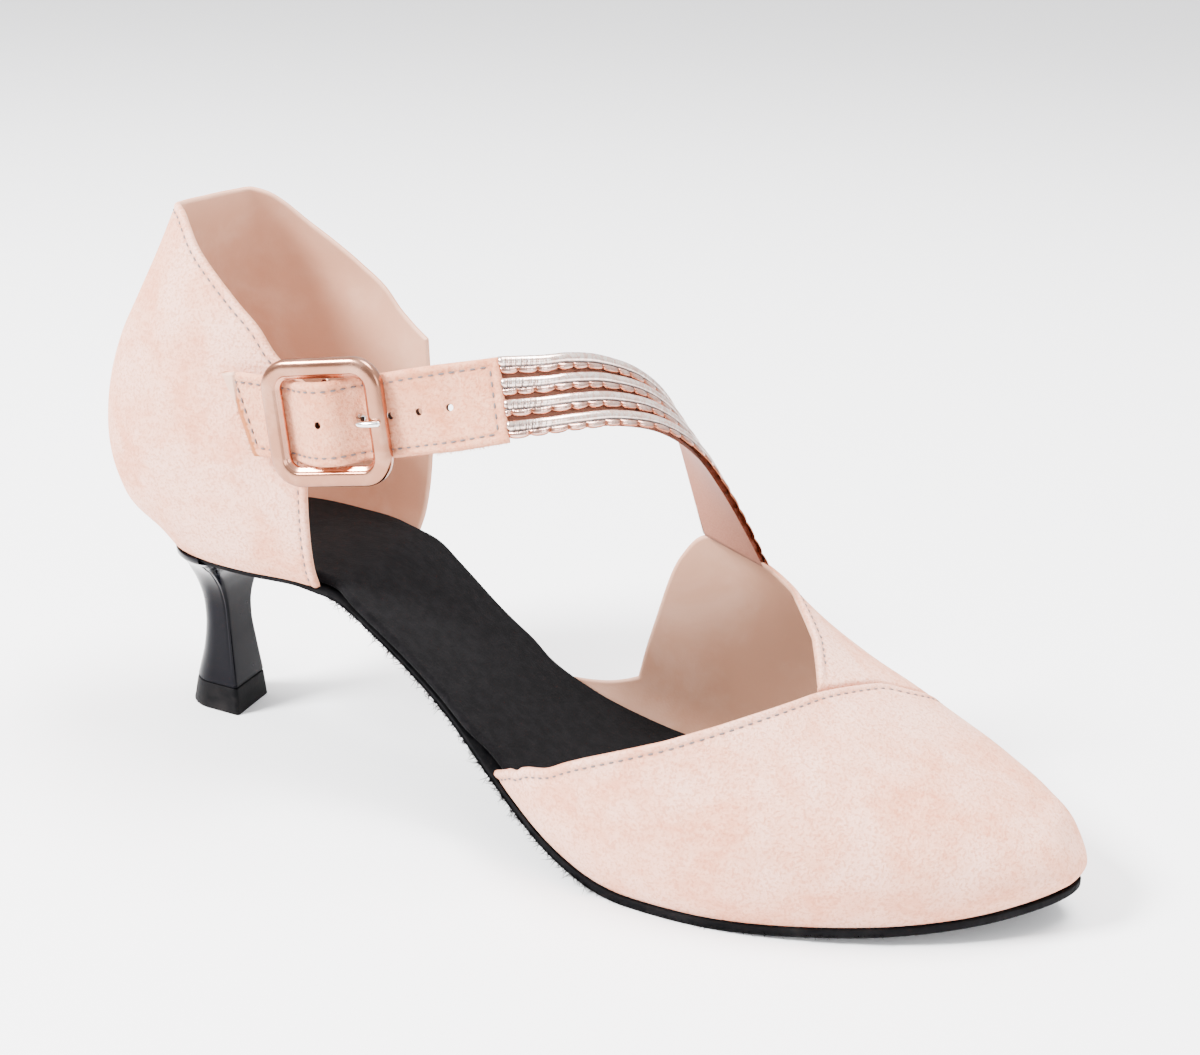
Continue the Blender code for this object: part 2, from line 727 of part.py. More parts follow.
def make_strap(suede):
    """Strap threaded through the buckle, with its punched holes."""
    half = STRAP_THICKNESS / 2
    strap = shell("strap_band", strap_sheet(half), strap_sheet(-half), suede)
    sides = 12
    turn = np.linspace(0, 2 * np.pi, sides, endpoint=False)
    points = []
    faces = []
    punched = [(WINDOW_HOLE_ALONG, HOLE_DIAMETER), (PRONG_HOLE_ALONG, PRONG_HOLE_DIAMETER)]
    punched += [(FIRST_HOLE_ALONG + HOLE_PITCH * number, HOLE_DIAMETER) for number in range(3)]
    ring = np.arange(sides)
    after = np.roll(ring, -1)
    for along, diameter in punched:
        middle, up, outward = (part[0] for part in strap_frames(np.array([along])))
        ahead = np.cross(up, outward)
        first = len(points) * sides
        for depth in (-2 * STRAP_THICKNESS, 2 * STRAP_THICKNESS):
            circle = (ahead * np.cos(turn)[:, None] + up * np.sin(turn)[:, None]) * diameter / 2
            points.append(middle + outward * depth + circle)
        faces += np.stack([first + ring, first + after, first + sides + after,
                           first + sides + ring], axis=-1).tolist()
        faces.append((first + ring[::-1]).tolist())
        faces.append((first + sides + ring).tolist())
    cut(strap, "strap_holes", np.concatenate(points), faces)


def make_buckle(metal, steel):
    """Square frame, centre bar and prong."""
    axes = buckle_axes()
    loop = rounded_loop(BUCKLE_LENGTH - BUCKLE_BAR_WIDTH, BUCKLE_WIDTH - BUCKLE_BAR_WIDTH,
                        BUCKLE_CORNER - BUCKLE_BAR_WIDTH / 2)
    path = from_buckle(np.column_stack([loop, np.full(len(loop), FRAME_OUT)]))
    tube("buckle_frame", path, BUCKLE_BAR_WIDTH / 2, BUCKLE_BAR_THICKNESS / 2, axes[2], metal,
         closed=True)
    reach = BUCKLE_WIDTH / 2 - BUCKLE_BAR_WIDTH - GAP
    ends = from_buckle([(0, -reach, BAR_OUT), (0, 0, BAR_OUT), (0, reach, BAR_OUT)])
    tube("buckle_bar", ends, CENTRE_BAR_DIAMETER / 2, CENTRE_BAR_DIAMETER / 2, axes[2], metal)
    half = PRONG_DIAMETER / 2
    eye = CENTRE_BAR_DIAMETER / 2 + GAP + half
    turn = np.radians(np.linspace(*PRONG_EYE, 15))
    ring = np.stack([eye * np.cos(turn), 0 * turn, BAR_OUT + eye * np.sin(turn)], axis=-1)
    way = PRONG_WAY
    route = np.concatenate([ring, np.column_stack([way["along"], 0 * way["along"], way["out"]])])
    tube("buckle_prong", from_buckle(route), half, half, axes[1], steel, sides=9)


def wing_edge(across):
    """Point on the inner wing's own edge, in the middle of its wall."""
    along = smooth(across, WING_EDGE["across"], WING_EDGE["along"])
    step = np.array([-GAP, 0, GAP])
    nearby = last_surface(across + step[:, None] / BALL_WIDTH + 0 * step[None, :],
                          along + step[None, :] / SOLE_LENGTH + 0 * step[:, None])
    return nearby[1, 1] - 0.5 * UPPER_WALL * grid_normals(nearby)[1, 1]


def tape_route():
    """Upper and lower edge of the four tapes, from the strap's end to the wing's edge."""
    middle, up, outward = (part[0] for part in strap_frames(STRAP_WAY["along"][-1:]))
    start = middle + GAP * np.cross(up, outward)
    size = np.array([SHOE_LENGTH, BALL_WIDTH, INSTEP_HEIGHT])
    edges = []
    for side, half in (("_top", 0.5), ("_low", -0.5)):
        rows = np.stack([TAPE_ROUTE[axis + side] for axis in "xyz"], axis=-1) * size
        landing = wing_edge(TAPE_LANDING[side])
        landing = landing + TAPE_CLEARANCE * unit(rows[-1] - landing)
        edges.append(np.vstack([start + half * STRAP_WIDTH * up, rows, landing]))
    return edges


def counter_front_at(height):
    """Point on the quarter's lateral front edge at a height, in the middle of its wall."""
    grid = counter_surface()
    edge = grid[0] - 0.5 * UPPER_WALL * grid_normals(grid)[0]
    return np.array([np.interp(height, grid[0, :, 2], edge[:, i]) for i in range(3)])


def make_tab(suede):
    """Tab from the quarter's front edge round the centre bar, slotted for the prong's eye."""
    axes = buckle_axes()
    anchor = axes @ (counter_front_at(BUCKLE_PLACE[2]) - BUCKLE_PLACE)
    radius = CENTRE_BAR_DIAMETER / 2 + GAP + TAB_THICKNESS / 2
    turn = np.radians(np.linspace(*TAB_WRAP, 12))
    wrap = np.stack([radius * np.cos(turn), BAR_OUT + radius * np.sin(turn)], axis=-1)
    start = np.array([anchor[0] + TAB_THICKNESS + GAP, anchor[2]])
    run = start + (wrap[0] - start) * np.linspace(0, TAB_RUN, 5)[:, None]
    back = wrap[-1] + (run[2] - wrap[-1]) * np.array(TAB_RETURN)[:, None]
    way = np.concatenate([run, wrap, back])
    ahead = unit(np.gradient(way, axis=0))
    aside = np.stack([-ahead[:, 1], ahead[:, 0]], axis=-1) * TAB_THICKNESS / 2
    across = np.linspace(-0.5, 0.5, 4) * TAB_WIDTH
    sheets = []
    for side in (way + aside, way - aside):
        local = np.stack([np.broadcast_to(side[:, None, 0], (len(way), 4)),
                          np.broadcast_to(across, (len(way), 4)),
                          np.broadcast_to(side[:, None, 1], (len(way), 4))], axis=-1)
        sheets.append(from_buckle(local))
    strip = shell("buckle_tab", sheets[0], sheets[1], suede)
    near, far = (share * radius for share in TAB_SLOT_REACH)
    corners = [(x, y, z) for x in (near, far) for y in (-TAB_SLOT / 2, TAB_SLOT / 2)
               for z in (BAR_OUT - far, BAR_OUT + far)]
    faces = [(0, 1, 3, 2), (4, 6, 7, 5), (0, 4, 5, 1), (2, 3, 7, 6), (0, 2, 6, 4), (1, 5, 7, 3)]
    cut(strip, "tab_slot", from_buckle(corners), faces)


def make_tapes(metallic):
    """Four tapes, each a cord with a flat flange below it."""
    route = tape_route()
    share = np.linspace(0, 1, len(route[0]))
    at = np.linspace(0, 1, 21)
    top, low = (np.stack([smooth(at, share, rows[:, i]) for i in range(3)], axis=-1)
                for rows in route)
    middle = (top + low) / 2
    up = unit(top - low)
    ahead = unit(np.gradient(middle, axis=0))
    outward = unit(np.cross(ahead, up))
    radius = TAPE_CORD_DIAMETER / 2
    pitch = STRAP_WIDTH / TAPE_COUNT
    tail = pitch - radius - GAP
    open_angle = np.pi + np.arcsin((radius - TAPE_FLANGE_THICKNESS) / radius)
    turn = np.linspace(-np.pi / 2, open_angle, 10)
    rise = np.concatenate([[-tail], radius * np.cos(turn), [-tail]])
    out = np.concatenate([[-radius], radius * np.sin(turn), [TAPE_FLANGE_THICKNESS - radius]])
    for number in range(TAPE_COUNT):
        lift = STRAP_WIDTH / 2 - radius - pitch * number
        rings = (middle[:, None, :] + up[:, None, :] * (lift + rise)[None, :, None]
                 + outward[:, None, :] * out[None, :, None])
        loft("tape_" + str(number + 1), rings, metallic)


def stand_over_origin():
    """Moves every mesh so that the shoe's box stands on z = 0, centred on the origin."""
    shown = [item for item in bpy.data.objects if not item.hide_render]
    corners = np.array([point.co[:] for item in shown for point in item.data.vertices])
    low, high = corners.min(axis=0), corners.max(axis=0)
    shift = Matrix.Translation((-(low[0] + high[0]) / 2, -(low[1] + high[1]) / 2, -low[2]))
    for item in bpy.data.objects:
        item.data.transform(shift)


def build():
    """Builds the shoe and stands it over the origin."""
    for item in list(bpy.data.objects):
        bpy.data.objects.remove(item, do_unlink=True)
    suede = material("suede", (0.80, 0.62, 0.54), 0.9)
    black = material("black_sole", (0.012, 0.012, 0.013), 0.7)
    gloss = material("gloss_black", (0.008, 0.008, 0.009), 0.12)
    rubber = material("rubber", (0.015, 0.015, 0.016), 0.6)
    rose = material("rose_metal", (0.76, 0.52, 0.44), 0.3, 1.0)
    steel = material("silver_metal", (0.80, 0.80, 0.80), 0.2, 1.0)
    tape = material("metallic_tape", (0.80, 0.62, 0.54), 0.3, 0.8)
    sole_layer("outsole", outsole_inset, outsole_levels, black)
    sole_layer("insole", insole_inset, insole_levels, black)
    make_front(suede)
    walled("quarter", counter_surface(), suede, base_columns=(0,))
    make_heel(gloss, rubber)
    make_strap(suede)
    make_buckle(rose, steel)
    make_tab(suede)
    make_tapes(tape)
    stand_over_origin()


build()
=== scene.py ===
"""Ballroom dance shoe, right foot: the finished look of every piece.

Lengths are millimetres on the last, as in the part's own drawing: +X from heel to toe, +Y to
the inner (medial) side, +Z up. They are moved into the frame and made metres when a mesh is
made. The last's tables and surfaces are those of the part, taken on finer grids.
"""

import bpy
import bmesh
import numpy as np
from mathutils import Matrix, Vector


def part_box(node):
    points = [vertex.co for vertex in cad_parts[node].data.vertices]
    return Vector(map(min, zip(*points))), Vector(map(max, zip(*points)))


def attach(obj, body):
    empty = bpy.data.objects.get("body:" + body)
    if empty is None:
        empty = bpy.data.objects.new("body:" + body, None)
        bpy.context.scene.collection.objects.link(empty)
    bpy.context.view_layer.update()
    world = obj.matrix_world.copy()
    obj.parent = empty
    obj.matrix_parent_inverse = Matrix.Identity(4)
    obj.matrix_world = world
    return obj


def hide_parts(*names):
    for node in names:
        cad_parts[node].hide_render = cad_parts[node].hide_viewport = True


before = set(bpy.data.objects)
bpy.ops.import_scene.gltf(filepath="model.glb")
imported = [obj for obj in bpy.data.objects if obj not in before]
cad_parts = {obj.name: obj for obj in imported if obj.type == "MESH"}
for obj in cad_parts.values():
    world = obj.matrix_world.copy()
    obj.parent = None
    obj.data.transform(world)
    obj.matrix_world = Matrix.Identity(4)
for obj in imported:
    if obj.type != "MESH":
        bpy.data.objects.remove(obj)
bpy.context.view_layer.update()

MM = 0.001
GAP = 0.3

# Driving sizes of the last
SHOE_LENGTH = 234.0
SEAT_SETBACK = 17.0
BALL_WIDTH = 76.4
SEAT_HEIGHT = 44.8
TOE_SPRING = 7.0
INSTEP_HEIGHT = 104.0
COUNTER_HEIGHT = 79.0
SOLE_LENGTH = SHOE_LENGTH - SEAT_SETBACK
TOE_ROUND_WIDTH = 0.5 * BALL_WIDTH
WALL_BULGE = 2.2
TOE_BULGE = 1.5
WIDEST_HEIGHT = 9.0
WIDEST_SHARE = 0.35
CROWN_POWER = 0.87
LATERAL_POWER = 0.07
SIDE_POWER = 0.92
OUTSOLE_THICKNESS = 1.9
SEAT_SOLE_THICKNESS = 0.9
SEAT_EDGE_INSET = 0.9
INSOLE_THICKNESS = 2.6
UPPER_WALL = 1.4
FEATHER_INSET = 0.8
STRAP_THICKNESS = 1.8
WAIST_BACK = 0.025
WAIST_FRONT = 0.030
WAIST_TURN = 0.00625

# Buckle, tab, heel, strap and tapes
TAB_THICKNESS = 1.0
TAB_WIDTH = 13.0
TAB_SLOT = 2.2
TAB_WRAP = (-110, 140)
TAB_RUN = 0.85
TAB_RETURN = (0.25, 0.50)
TAB_SLOT_REACH = (-1.6, 3.0)
HEEL_CENTRE_Y = 1.2
HEEL_TURN = 0.14
HEEL_CORNER = 0.14
TOP_PIECE_HEIGHT = 6.5
STRAP_WIDTH = 18.0
HOLE_PITCH = 6.6
HOLE_DIAMETER = 1.5
PRONG_HOLE_DIAMETER = 2.2
TAPE_COUNT = 4
TAPE_CORD_DIAMETER = 2.2
BUCKLE_LENGTH = 28.0
BUCKLE_WIDTH = 27.4
BUCKLE_BAR_WIDTH = 4.3
BUCKLE_BAR_THICKNESS = 3.2
BUCKLE_CORNER = 6.5
FRAME_POWER = 0.8
FRAME_STEP = 0.55
CENTRE_BAR_DIAMETER = 2.2
PRONG_DIAMETER = 1.3
COUNTER_FRONT = 0.230
COUNTER_ROW_CROWDING = 1.15
COUNTER_BACK_FOCUS = 1.5

# Sewing and edges
STITCH_IN = 2.0
STITCH_PITCH = 2.1
STITCH_LENGTH = 1.45
STITCH_DIAMETER = 0.42
GROOVE_DEPTH = 0.16
GROOVE_WIDTH = 0.42
ROLL_HEIGHT = 0.16
UNDERLAP = 3.4
SEAM_CLEARANCE = 0.12
UNDERLAP_WALL = 0.7
THREAD_ARCH = 0.20
THREAD_SINK = 0.16
TROUGH_WIDTH = 0.5
# tan tint at a sewn rim, partly painted shade along the edge
RIM_TAN_AND_SHADE = 0.45
TAB_RAW = 0.4
CUT_BLUNT = 0.80
CUT_ROUND = 0.35
CUT_SIDE = 0.75
PUNCH_DIP = 0.30
PUNCH_DIP_WIDTH = 0.55
STRAP_WAVE = 0.10
HOLES_AHEAD = 3

# Finely divided parts beside the edges, and how fast the spacing grows there
CROWDING = 1.5
WAVE_RATIO = 1.7
EDGE_FINE = 7.0
FRONT_FINE = 0.08
TOP_FINE = 0.09
STRAP_FINE = 3.6
TAB_FINE = 2.0


def table(columns, rows):
    """Named columns of a short table, each as an array."""
    return dict(zip(columns.split(), np.array(rows, float).T))


OUTLINE = table("along lateral medial", (
    (0.000, 0.000, 0.000),
    (0.012, -0.190, 0.190),
    (0.045, -0.276, 0.272),
    (0.098, -0.317, 0.312),
    (0.199, -0.312, 0.290),
    (0.290, -0.290, 0.228),
    (0.383, -0.318, 0.198),
    (0.452, -0.380, 0.255),
    (0.521, -0.450, 0.350),
    (0.590, -0.494, 0.435),
    (0.660, -0.505, 0.485),
    (0.728, -0.482, 0.482),
    (0.797, -0.422, 0.432),
    (0.866, -0.333, 0.355),
    (0.926, -0.222, 0.258),
    (0.973, -0.096, 0.158),
    (1.000, 0.055, 0.055),
))
PROFILE = table("along seat spring", (
    (0.000, 1.034, 0.000),
    (0.070, 1.032, 0.000),
    (0.150, 1.028, 0.000),
    (0.210, 1.024, 0.000),
    (0.249, 0.990, 0.000),
    (0.290, 0.865, 0.000),
    (0.382, 0.568, 0.000),
    (0.475, 0.255, 0.000),
    (0.544, 0.083, 0.000),
    (0.594, 0.012, 0.000),
    (0.618, 0.000, 0.000),
    (0.696, 0.000, 0.000),
    (0.751, 0.000, 0.070),
    (0.806, 0.000, 0.170),
    (0.866, 0.000, 0.310),
    (0.926, 0.000, 0.540),
    (0.972, 0.000, 0.800),
    (1.000, 0.000, 1.000),
))
RIDGE = table("along height side", (
    (0.290, 1.150, 0.020),
    (0.392, 1.060, 0.040),
    (0.475, 0.990, 0.060),
    (0.524, 0.890, 0.080),
    (0.567, 0.780, 0.100),
    (0.613, 0.650, 0.120),
    (0.668, 0.515, 0.130),
    (0.742, 0.408, 0.130),
    (0.797, 0.360, 0.130),
    (0.853, 0.313, 0.120),
    (0.908, 0.270, 0.110),
    (0.954, 0.230, 0.095),
    (0.982, 0.196, 0.075),
    (1.000, 0.145, OUTLINE["medial"][-1]),
))
PANEL_EDGE = table("across along", (
    (-1.000, 0.453),
    (-0.940, 0.463),
    (-0.880, 0.474),
    (-0.840, 0.4825),
    (-0.825, 0.488),
    (-0.810, 0.497),
    (-0.780, 0.526),
    (-0.745, 0.549),
    (-0.675, 0.590),
    (-0.580, 0.635),
    (-0.465, 0.673),
    (-0.345, 0.705),
    (-0.235, 0.729),
    (-0.140, 0.746),
    (-0.065, 0.762),
    (0.020, 0.782),
    (0.100, 0.800),
    (0.280, 0.816),
    (0.500, 0.820),
    (0.750, 0.806),
    (1.000, 0.783),
))
WING_EDGE = table("across along", (
    (-0.140, 0.743),
    (-0.055, 0.726),
    (0.040, 0.702),
    (0.145, 0.679),
    (0.300, 0.650),
    (0.400, 0.608),
    (0.480, 0.562),
    (0.580, 0.530),
    (0.720, 0.502),
    (0.860, 0.470),
    (1.000, 0.429),
))
COUNTER = table("height back side", (
    (0.000, -0.010, -0.010),
    (0.045, 0.032, 0.014),
    (0.110, 0.122, 0.033),
    (0.200, 0.174, 0.046),
    (0.300, 0.196, 0.050),
    (0.400, 0.194, 0.046),
    (0.490, 0.178, 0.040),
    (0.615, 0.134, 0.030),
    (0.740, 0.066, 0.012),
    (0.870, -0.002, -0.030),
    (1.030, -0.074, -0.092),
))
COUNTER_TOP = table("round height", (
    (0.000, 0.992),
    (0.150, 0.995),
    (0.280, 0.998),
    (0.360, 0.985),
    (0.420, 0.960),
    (0.520, 0.900),
    (0.620, 0.845),
    (0.720, 0.785),
    (0.820, 0.718),
    (0.870, 0.668),
    (0.920, 0.635),
    (1.000, 0.600),
))
HEEL = table("height back breast half_width", (
    (0.000, -0.055, 0.165, 0.098),
    (0.148, -0.034, 0.157, 0.090),
    (0.335, -0.003, 0.143, 0.076),
    (0.490, 0.008, 0.133, 0.067),
    (0.625, 0.003, 0.134, 0.073),
    (0.735, -0.011, 0.145, 0.102),
    (0.825, -0.022, 0.166, 0.149),
    (0.910, -0.020, 0.206, 0.216),
    (1.000, 0.004, 0.264, 0.300),
))
STRAP_WAY = table("along up out", (
    (-23.0, 1.5, -2.4),
    (-20.0, 1.2, -1.8),
    (-16.0, 0.8, -1.0),
    (-11.6, 0.4, 0.0),
    (-9.0, 0.2, 0.5),
    (-5.5, 0.0, 2.7),
    (-2.5, 0.0, 4.3),
    (0.0, 0.0, 4.7),
    (2.5, 0.0, 4.0),
    (4.6, 0.0, 1.9),
    (6.8, 0.1, 0.4),
    (10.0, 0.3, 0.0),
    (14.0, 0.6, 0.1),
    (20.0, 1.2, 0.2),
    (27.0, 1.7, -0.4),
    (33.0, 2.1, -1.6),
    (38.0, 2.4, -3.1),
))
BUCKLE_PLACE = np.array([0.326 * SHOE_LENGTH, -0.380 * BALL_WIDTH, 0.853 * INSTEP_HEIGHT])
BUCKLE_FORWARD = np.array([0.980, 0.138, 0.150])
BUCKLE_UP = np.array([-0.185, 0.000, 0.982])
STRAP_END_UP = np.array([-0.370, 0.340, 0.860])
PRONG_HOLE_ALONG = 6.9
FIRST_HOLE_ALONG = 13.8
WINDOW_HOLE_ALONG = -0.8
FREE_END_SLANT = 6.0
FRAME_OUT = STRAP_THICKNESS / 2 + GAP + BUCKLE_BAR_THICKNESS / 2
BAR_OUT = 0.75
PRONG_EYE = (200, -80)
PRONG_WAY = table("along out", (
    (1.6, -1.2),
    (3.2, -1.6),
    (4.9, -1.8),
    (6.1, -1.4),
    (6.7, -0.4),
    (6.9, 0.9),
    (7.1, 2.3),
    (7.5, 3.9),
    (8.6, 5.2),
    (10.4, 5.6),
    (12.2, 5.5),
    (13.6, 5.2),
))
TAPE_ROUTE = table("x_top y_top z_top x_low y_low z_low", (
    (0.496, -0.160, 1.000, 0.520, -0.268, 0.870),
    (0.511, -0.085, 0.996, 0.541, -0.185, 0.875),
    (0.524, 0.026, 0.978, 0.563, -0.079, 0.870),
    (0.542, 0.150, 0.935, 0.588, 0.035, 0.846),
    (0.557, 0.255, 0.860, 0.606, 0.150, 0.790),
    (0.566, 0.325, 0.760, 0.622, 0.245, 0.700),
))
TAPE_LANDING = {"_top": 0.50, "_low": 0.33}
TAPE_CLEARANCE = 1.5


def smooth(at, xs, ys):
    """Cubic curve through a table's rows, with each row's slope taken from its neighbours."""
    at = np.clip(at, xs[0], xs[-1])
    steps = np.diff(xs)
    rates = np.diff(ys) / steps
    slopes = np.empty_like(ys)
    slopes[1:-1] = (rates[:-1] * steps[1:] + rates[1:] * steps[:-1]) / (steps[1:] + steps[:-1])
    slopes[0] = 1.5 * rates[0] - 0.5 * slopes[1]
    slopes[-1] = 1.5 * rates[-1] - 0.5 * slopes[-2]
    row = np.clip(np.searchsorted(xs, at, side="right") - 1, 0, len(steps) - 1)
    width = steps[row]
    u = (at - xs[row]) / width
    keep = (1 + 2 * u) * (1 - u) ** 2 * ys[row] + u * u * (3 - 2 * u) * ys[row + 1]
    lean = u * (1 - u) ** 2 * slopes[row] - u * u * (1 - u) * slopes[row + 1]
    return keep + width * lean


def unit(vectors):
    """Vectors made one long, along the last axis."""
    return vectors / np.maximum(np.linalg.norm(vectors, axis=-1, keepdims=True), 1e-9)


def ease(values, low, high):
    """0 below low, 1 above high, and a smooth step between: 3t^2 - 2t^3."""
    share = np.clip((values - low) / (high - low), 0, 1)
    return share * share * (3 - 2 * share)


def hump(values, middle, width):
    """Bell: e to the power -((value - middle) / width)^2."""
    return np.exp(-((values - middle) / width) ** 2)


def crowded(fine, count):
    """Places from 0 to the fine length, crowded at 0: they grow with the power CROWDING."""
    return fine * np.linspace(0, 1, count) ** CROWDING


def from_edge(length, fine, fine_count, count):
    """Places from 0 to a length: crowded over the fine part, then even."""
    near = crowded(fine, fine_count)
    return np.concatenate([near, fine + (length - fine) * np.linspace(0, 1, count)[1:]])


def from_both_edges(width, fine, fine_count, count):
    """Places across a width, crowded at both edges."""
    side = from_edge(width / 2, fine, fine_count, count)
    return np.concatenate([side, width - side[-2::-1]])


def round_off(share):
    """Quarter circle that rises from 0 at share 0 to 1 at share 1, and stays 1."""
    return np.sqrt(1 - (1 - np.clip(share, 0, 1)) ** 2)


def wander(places, seed, waves, longest):
    """Smooth uneven values about -1..1 along a line: a sum of sines with falling wave lengths."""
    dice = np.random.default_rng(seed)
    total = 0 * places
    for wave in range(waves):
        length = longest / WAVE_RATIO ** wave * dice.uniform(0.8, 1.25)
        total = total + np.sin(2 * np.pi * places / length + dice.uniform(0, 6.28)) / 1.25 ** wave
    return total / 2.2


def sole_sides(along):
    """Lateral and medial edge of the sole across the shoe, at a share of its length."""
    angle = np.arccos(np.clip(1 - 2 * along, -1, 1))
    angles = np.arccos(np.clip(1 - 2 * OUTLINE["along"], -1, 1))
    lateral = BALL_WIDTH * smooth(angle, angles, OUTLINE["lateral"])
    medial = BALL_WIDTH * smooth(angle, angles, OUTLINE["medial"])
    return lateral, medial


def sole_underside(along):
    """Height of the outer sole's underside."""
    seat = SEAT_HEIGHT * smooth(along, PROFILE["along"], PROFILE["seat"])
    spring = TOE_SPRING * smooth(along, PROFILE["along"], PROFILE["spring"])
    return np.maximum(seat, 0) + np.maximum(spring, 0)


def forward(along):
    """Place along the shoe of a share of the sole's length."""
    return SEAT_SETBACK + SOLE_LENGTH * along


def share_of_sole(x):
    """Share of the sole's length of a place along the shoe."""
    return np.clip((x - SEAT_SETBACK) / SOLE_LENGTH, 0, 1)


def outsole_thickness(along):
    """Outer sole's thickness: thin under the heel seat, full from the waist on."""
    share = np.clip((along - COUNTER_FRONT) / (PANEL_EDGE["along"][0] - COUNTER_FRONT), 0, 1)
    return SEAT_SOLE_THICKNESS + (OUTSOLE_THICKNESS - SEAT_SOLE_THICKNESS) * share


def feather_height(along):
    """Height at which the upper stands on the outer sole."""
    return sole_underside(along) + outsole_thickness(along) + GAP


def last_surface(across, along):
    """Point of the upper's outer face: two quarter ovals that meet on the ridge, with the
    wall tucked in below its widest line, as in the part's own drawing."""
    lateral, medial = sole_sides(along)
    sideways = np.clip((medial - lateral) / TOE_ROUND_WIDTH, 0, 1)
    inner_side = np.where(across < 0, -1, 1)
    side = np.where(across < 0, lateral, medial) - inner_side * FEATHER_INSET * sideways
    base = feather_height(along)
    top = INSTEP_HEIGHT * smooth(along, RIDGE["along"], RIDGE["height"])
    ridge = BALL_WIDTH * smooth(along, RIDGE["along"], RIDGE["side"])
    reach = side - ridge
    tuck = WALL_BULGE / np.maximum(np.abs(reach), 2 * WALL_BULGE)
    tuck_angle = np.arccos(1 / (1 + tuck))
    angle = np.pi / 2 - np.abs(across) * (np.pi / 2 + tuck_angle)
    low_line = base + np.minimum(WIDEST_HEIGHT, WIDEST_SHARE * (top - base))
    power = CROWN_POWER - inner_side * LATERAL_POWER * sideways
    lift = np.sin(np.maximum(angle, 0)) ** power
    drop = np.sin(np.minimum(angle, 0)) / np.sin(tuck_angle)
    height = low_line + (top - low_line) * lift + (low_line - base) * drop
    y = ridge + reach * (1 + tuck) * np.maximum(np.cos(angle), 0) ** SIDE_POWER
    level = (height - base) / (top - base)
    ahead = (1 - sideways ** 2) * (TOE_BULGE * np.sin(np.pi * level) - FEATHER_INSET)
    return np.stack([forward(along) + ahead, y, height], axis=-1)


def grid_normals(grid):
    """Unit normals of a grid of points, from the slopes along its rows and columns."""
    return unit(np.cross(np.gradient(grid, axis=1), np.gradient(grid, axis=0)))


def distance_to(grid, line):
    """Shortest distance of each point of a grid to a line made of short straight runs."""
    run = np.diff(line, axis=0)
    square = np.maximum((run * run).sum(-1), 1e-12)
    rows = []
    for row in grid:
        away = row[:, None, :] - line[None, :-1, :]
        share = np.clip((away * run).sum(-1) / square, 0, 1)
        rows.append(np.linalg.norm(away - share[..., None] * run, axis=-1).min(1))
    return np.stack(rows)


# Place of the drawing in the frame, from the outer sole's box
SOLE_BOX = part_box("outsole")
EXTREME = sole_sides(0.5 - 0.5 * np.cos(np.linspace(0, np.pi, 57)))[0].min()
PLACE = np.array([SHOE_LENGTH - SOLE_BOX[1].x / MM, EXTREME - SOLE_BOX[0].y / MM, 0.0])


def linked(name, data):
    """New object of some data, put into the scene."""
    item = bpy.data.objects.new(name, data)
    bpy.context.scene.collection.objects.link(item)
    return item


def new_piece(name, points, quads, finishes, nodes=(), finish_of=None, marks=None):
    """One piece from points in millimetres and quads: doubles merged, faces turned outwards,
    smooth shaded, with a finish number for each face and named values for each point."""
    mesh = bpy.data.meshes.new(name)
    points = np.asarray(points, float).reshape(-1, 3)
    quads = np.asarray(quads, np.int32).reshape(-1, 4)
    mesh.vertices.add(len(points))
    mesh.vertices.foreach_set("co", ((points - PLACE) * MM).ravel())
    mesh.loops.add(quads.size)
    mesh.loops.foreach_set("vertex_index", quads.ravel())
    mesh.polygons.add(len(quads))
    mesh.polygons.foreach_set("loop_start", np.arange(0, quads.size, 4, dtype=np.int32))
    if finish_of is not None:
        mesh.polygons.foreach_set("material_index", np.asarray(finish_of, np.int32).ravel())
    for mark, values in (marks or {}).items():
        made = mesh.attributes.new(mark, "FLOAT", "POINT")
        made.data.foreach_set("value", np.asarray(values, float).ravel())
    mesh.update(calc_edges=True)
    work = bmesh.new()
    work.from_mesh(mesh)
    bmesh.ops.remove_doubles(work, verts=work.verts, dist=1.5e-6)
    bmesh.ops.recalc_face_normals(work, faces=work.faces)
    if work.calc_volume(signed=True) < 0:
        bmesh.ops.reverse_faces(work, faces=work.faces)
    work.to_mesh(mesh)
    work.free()
    mesh.shade_smooth()
    for finish in finishes:
        mesh.materials.append(finish)
    item = linked(name, mesh)
    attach(item, "root")
    if nodes:
        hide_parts(*nodes)
    return item


def grid_quads(rows, columns, first=0):
    """Quads of a grid whose points are numbered row by row."""
    corner = first + np.arange(rows - 1)[:, None] * columns + np.arange(columns - 1)[None, :]
    return np.stack([corner, corner + 1, corner + columns + 1, corner + columns],
                    axis=-1).reshape(-1, 4)


def ring_quads(rings, count, closed=False):
    """Quads round rings of points; closed joins the last ring to the first."""
    number = np.arange(rings * count).reshape(rings, count)
    after = np.roll(number, -1, axis=0)
    if not closed:
        number, after = number[:-1], after[:-1]
    return np.stack([number, np.roll(number, -1, axis=1), np.roll(after, -1, axis=1), after],
                    axis=-1).reshape(-1, 4)


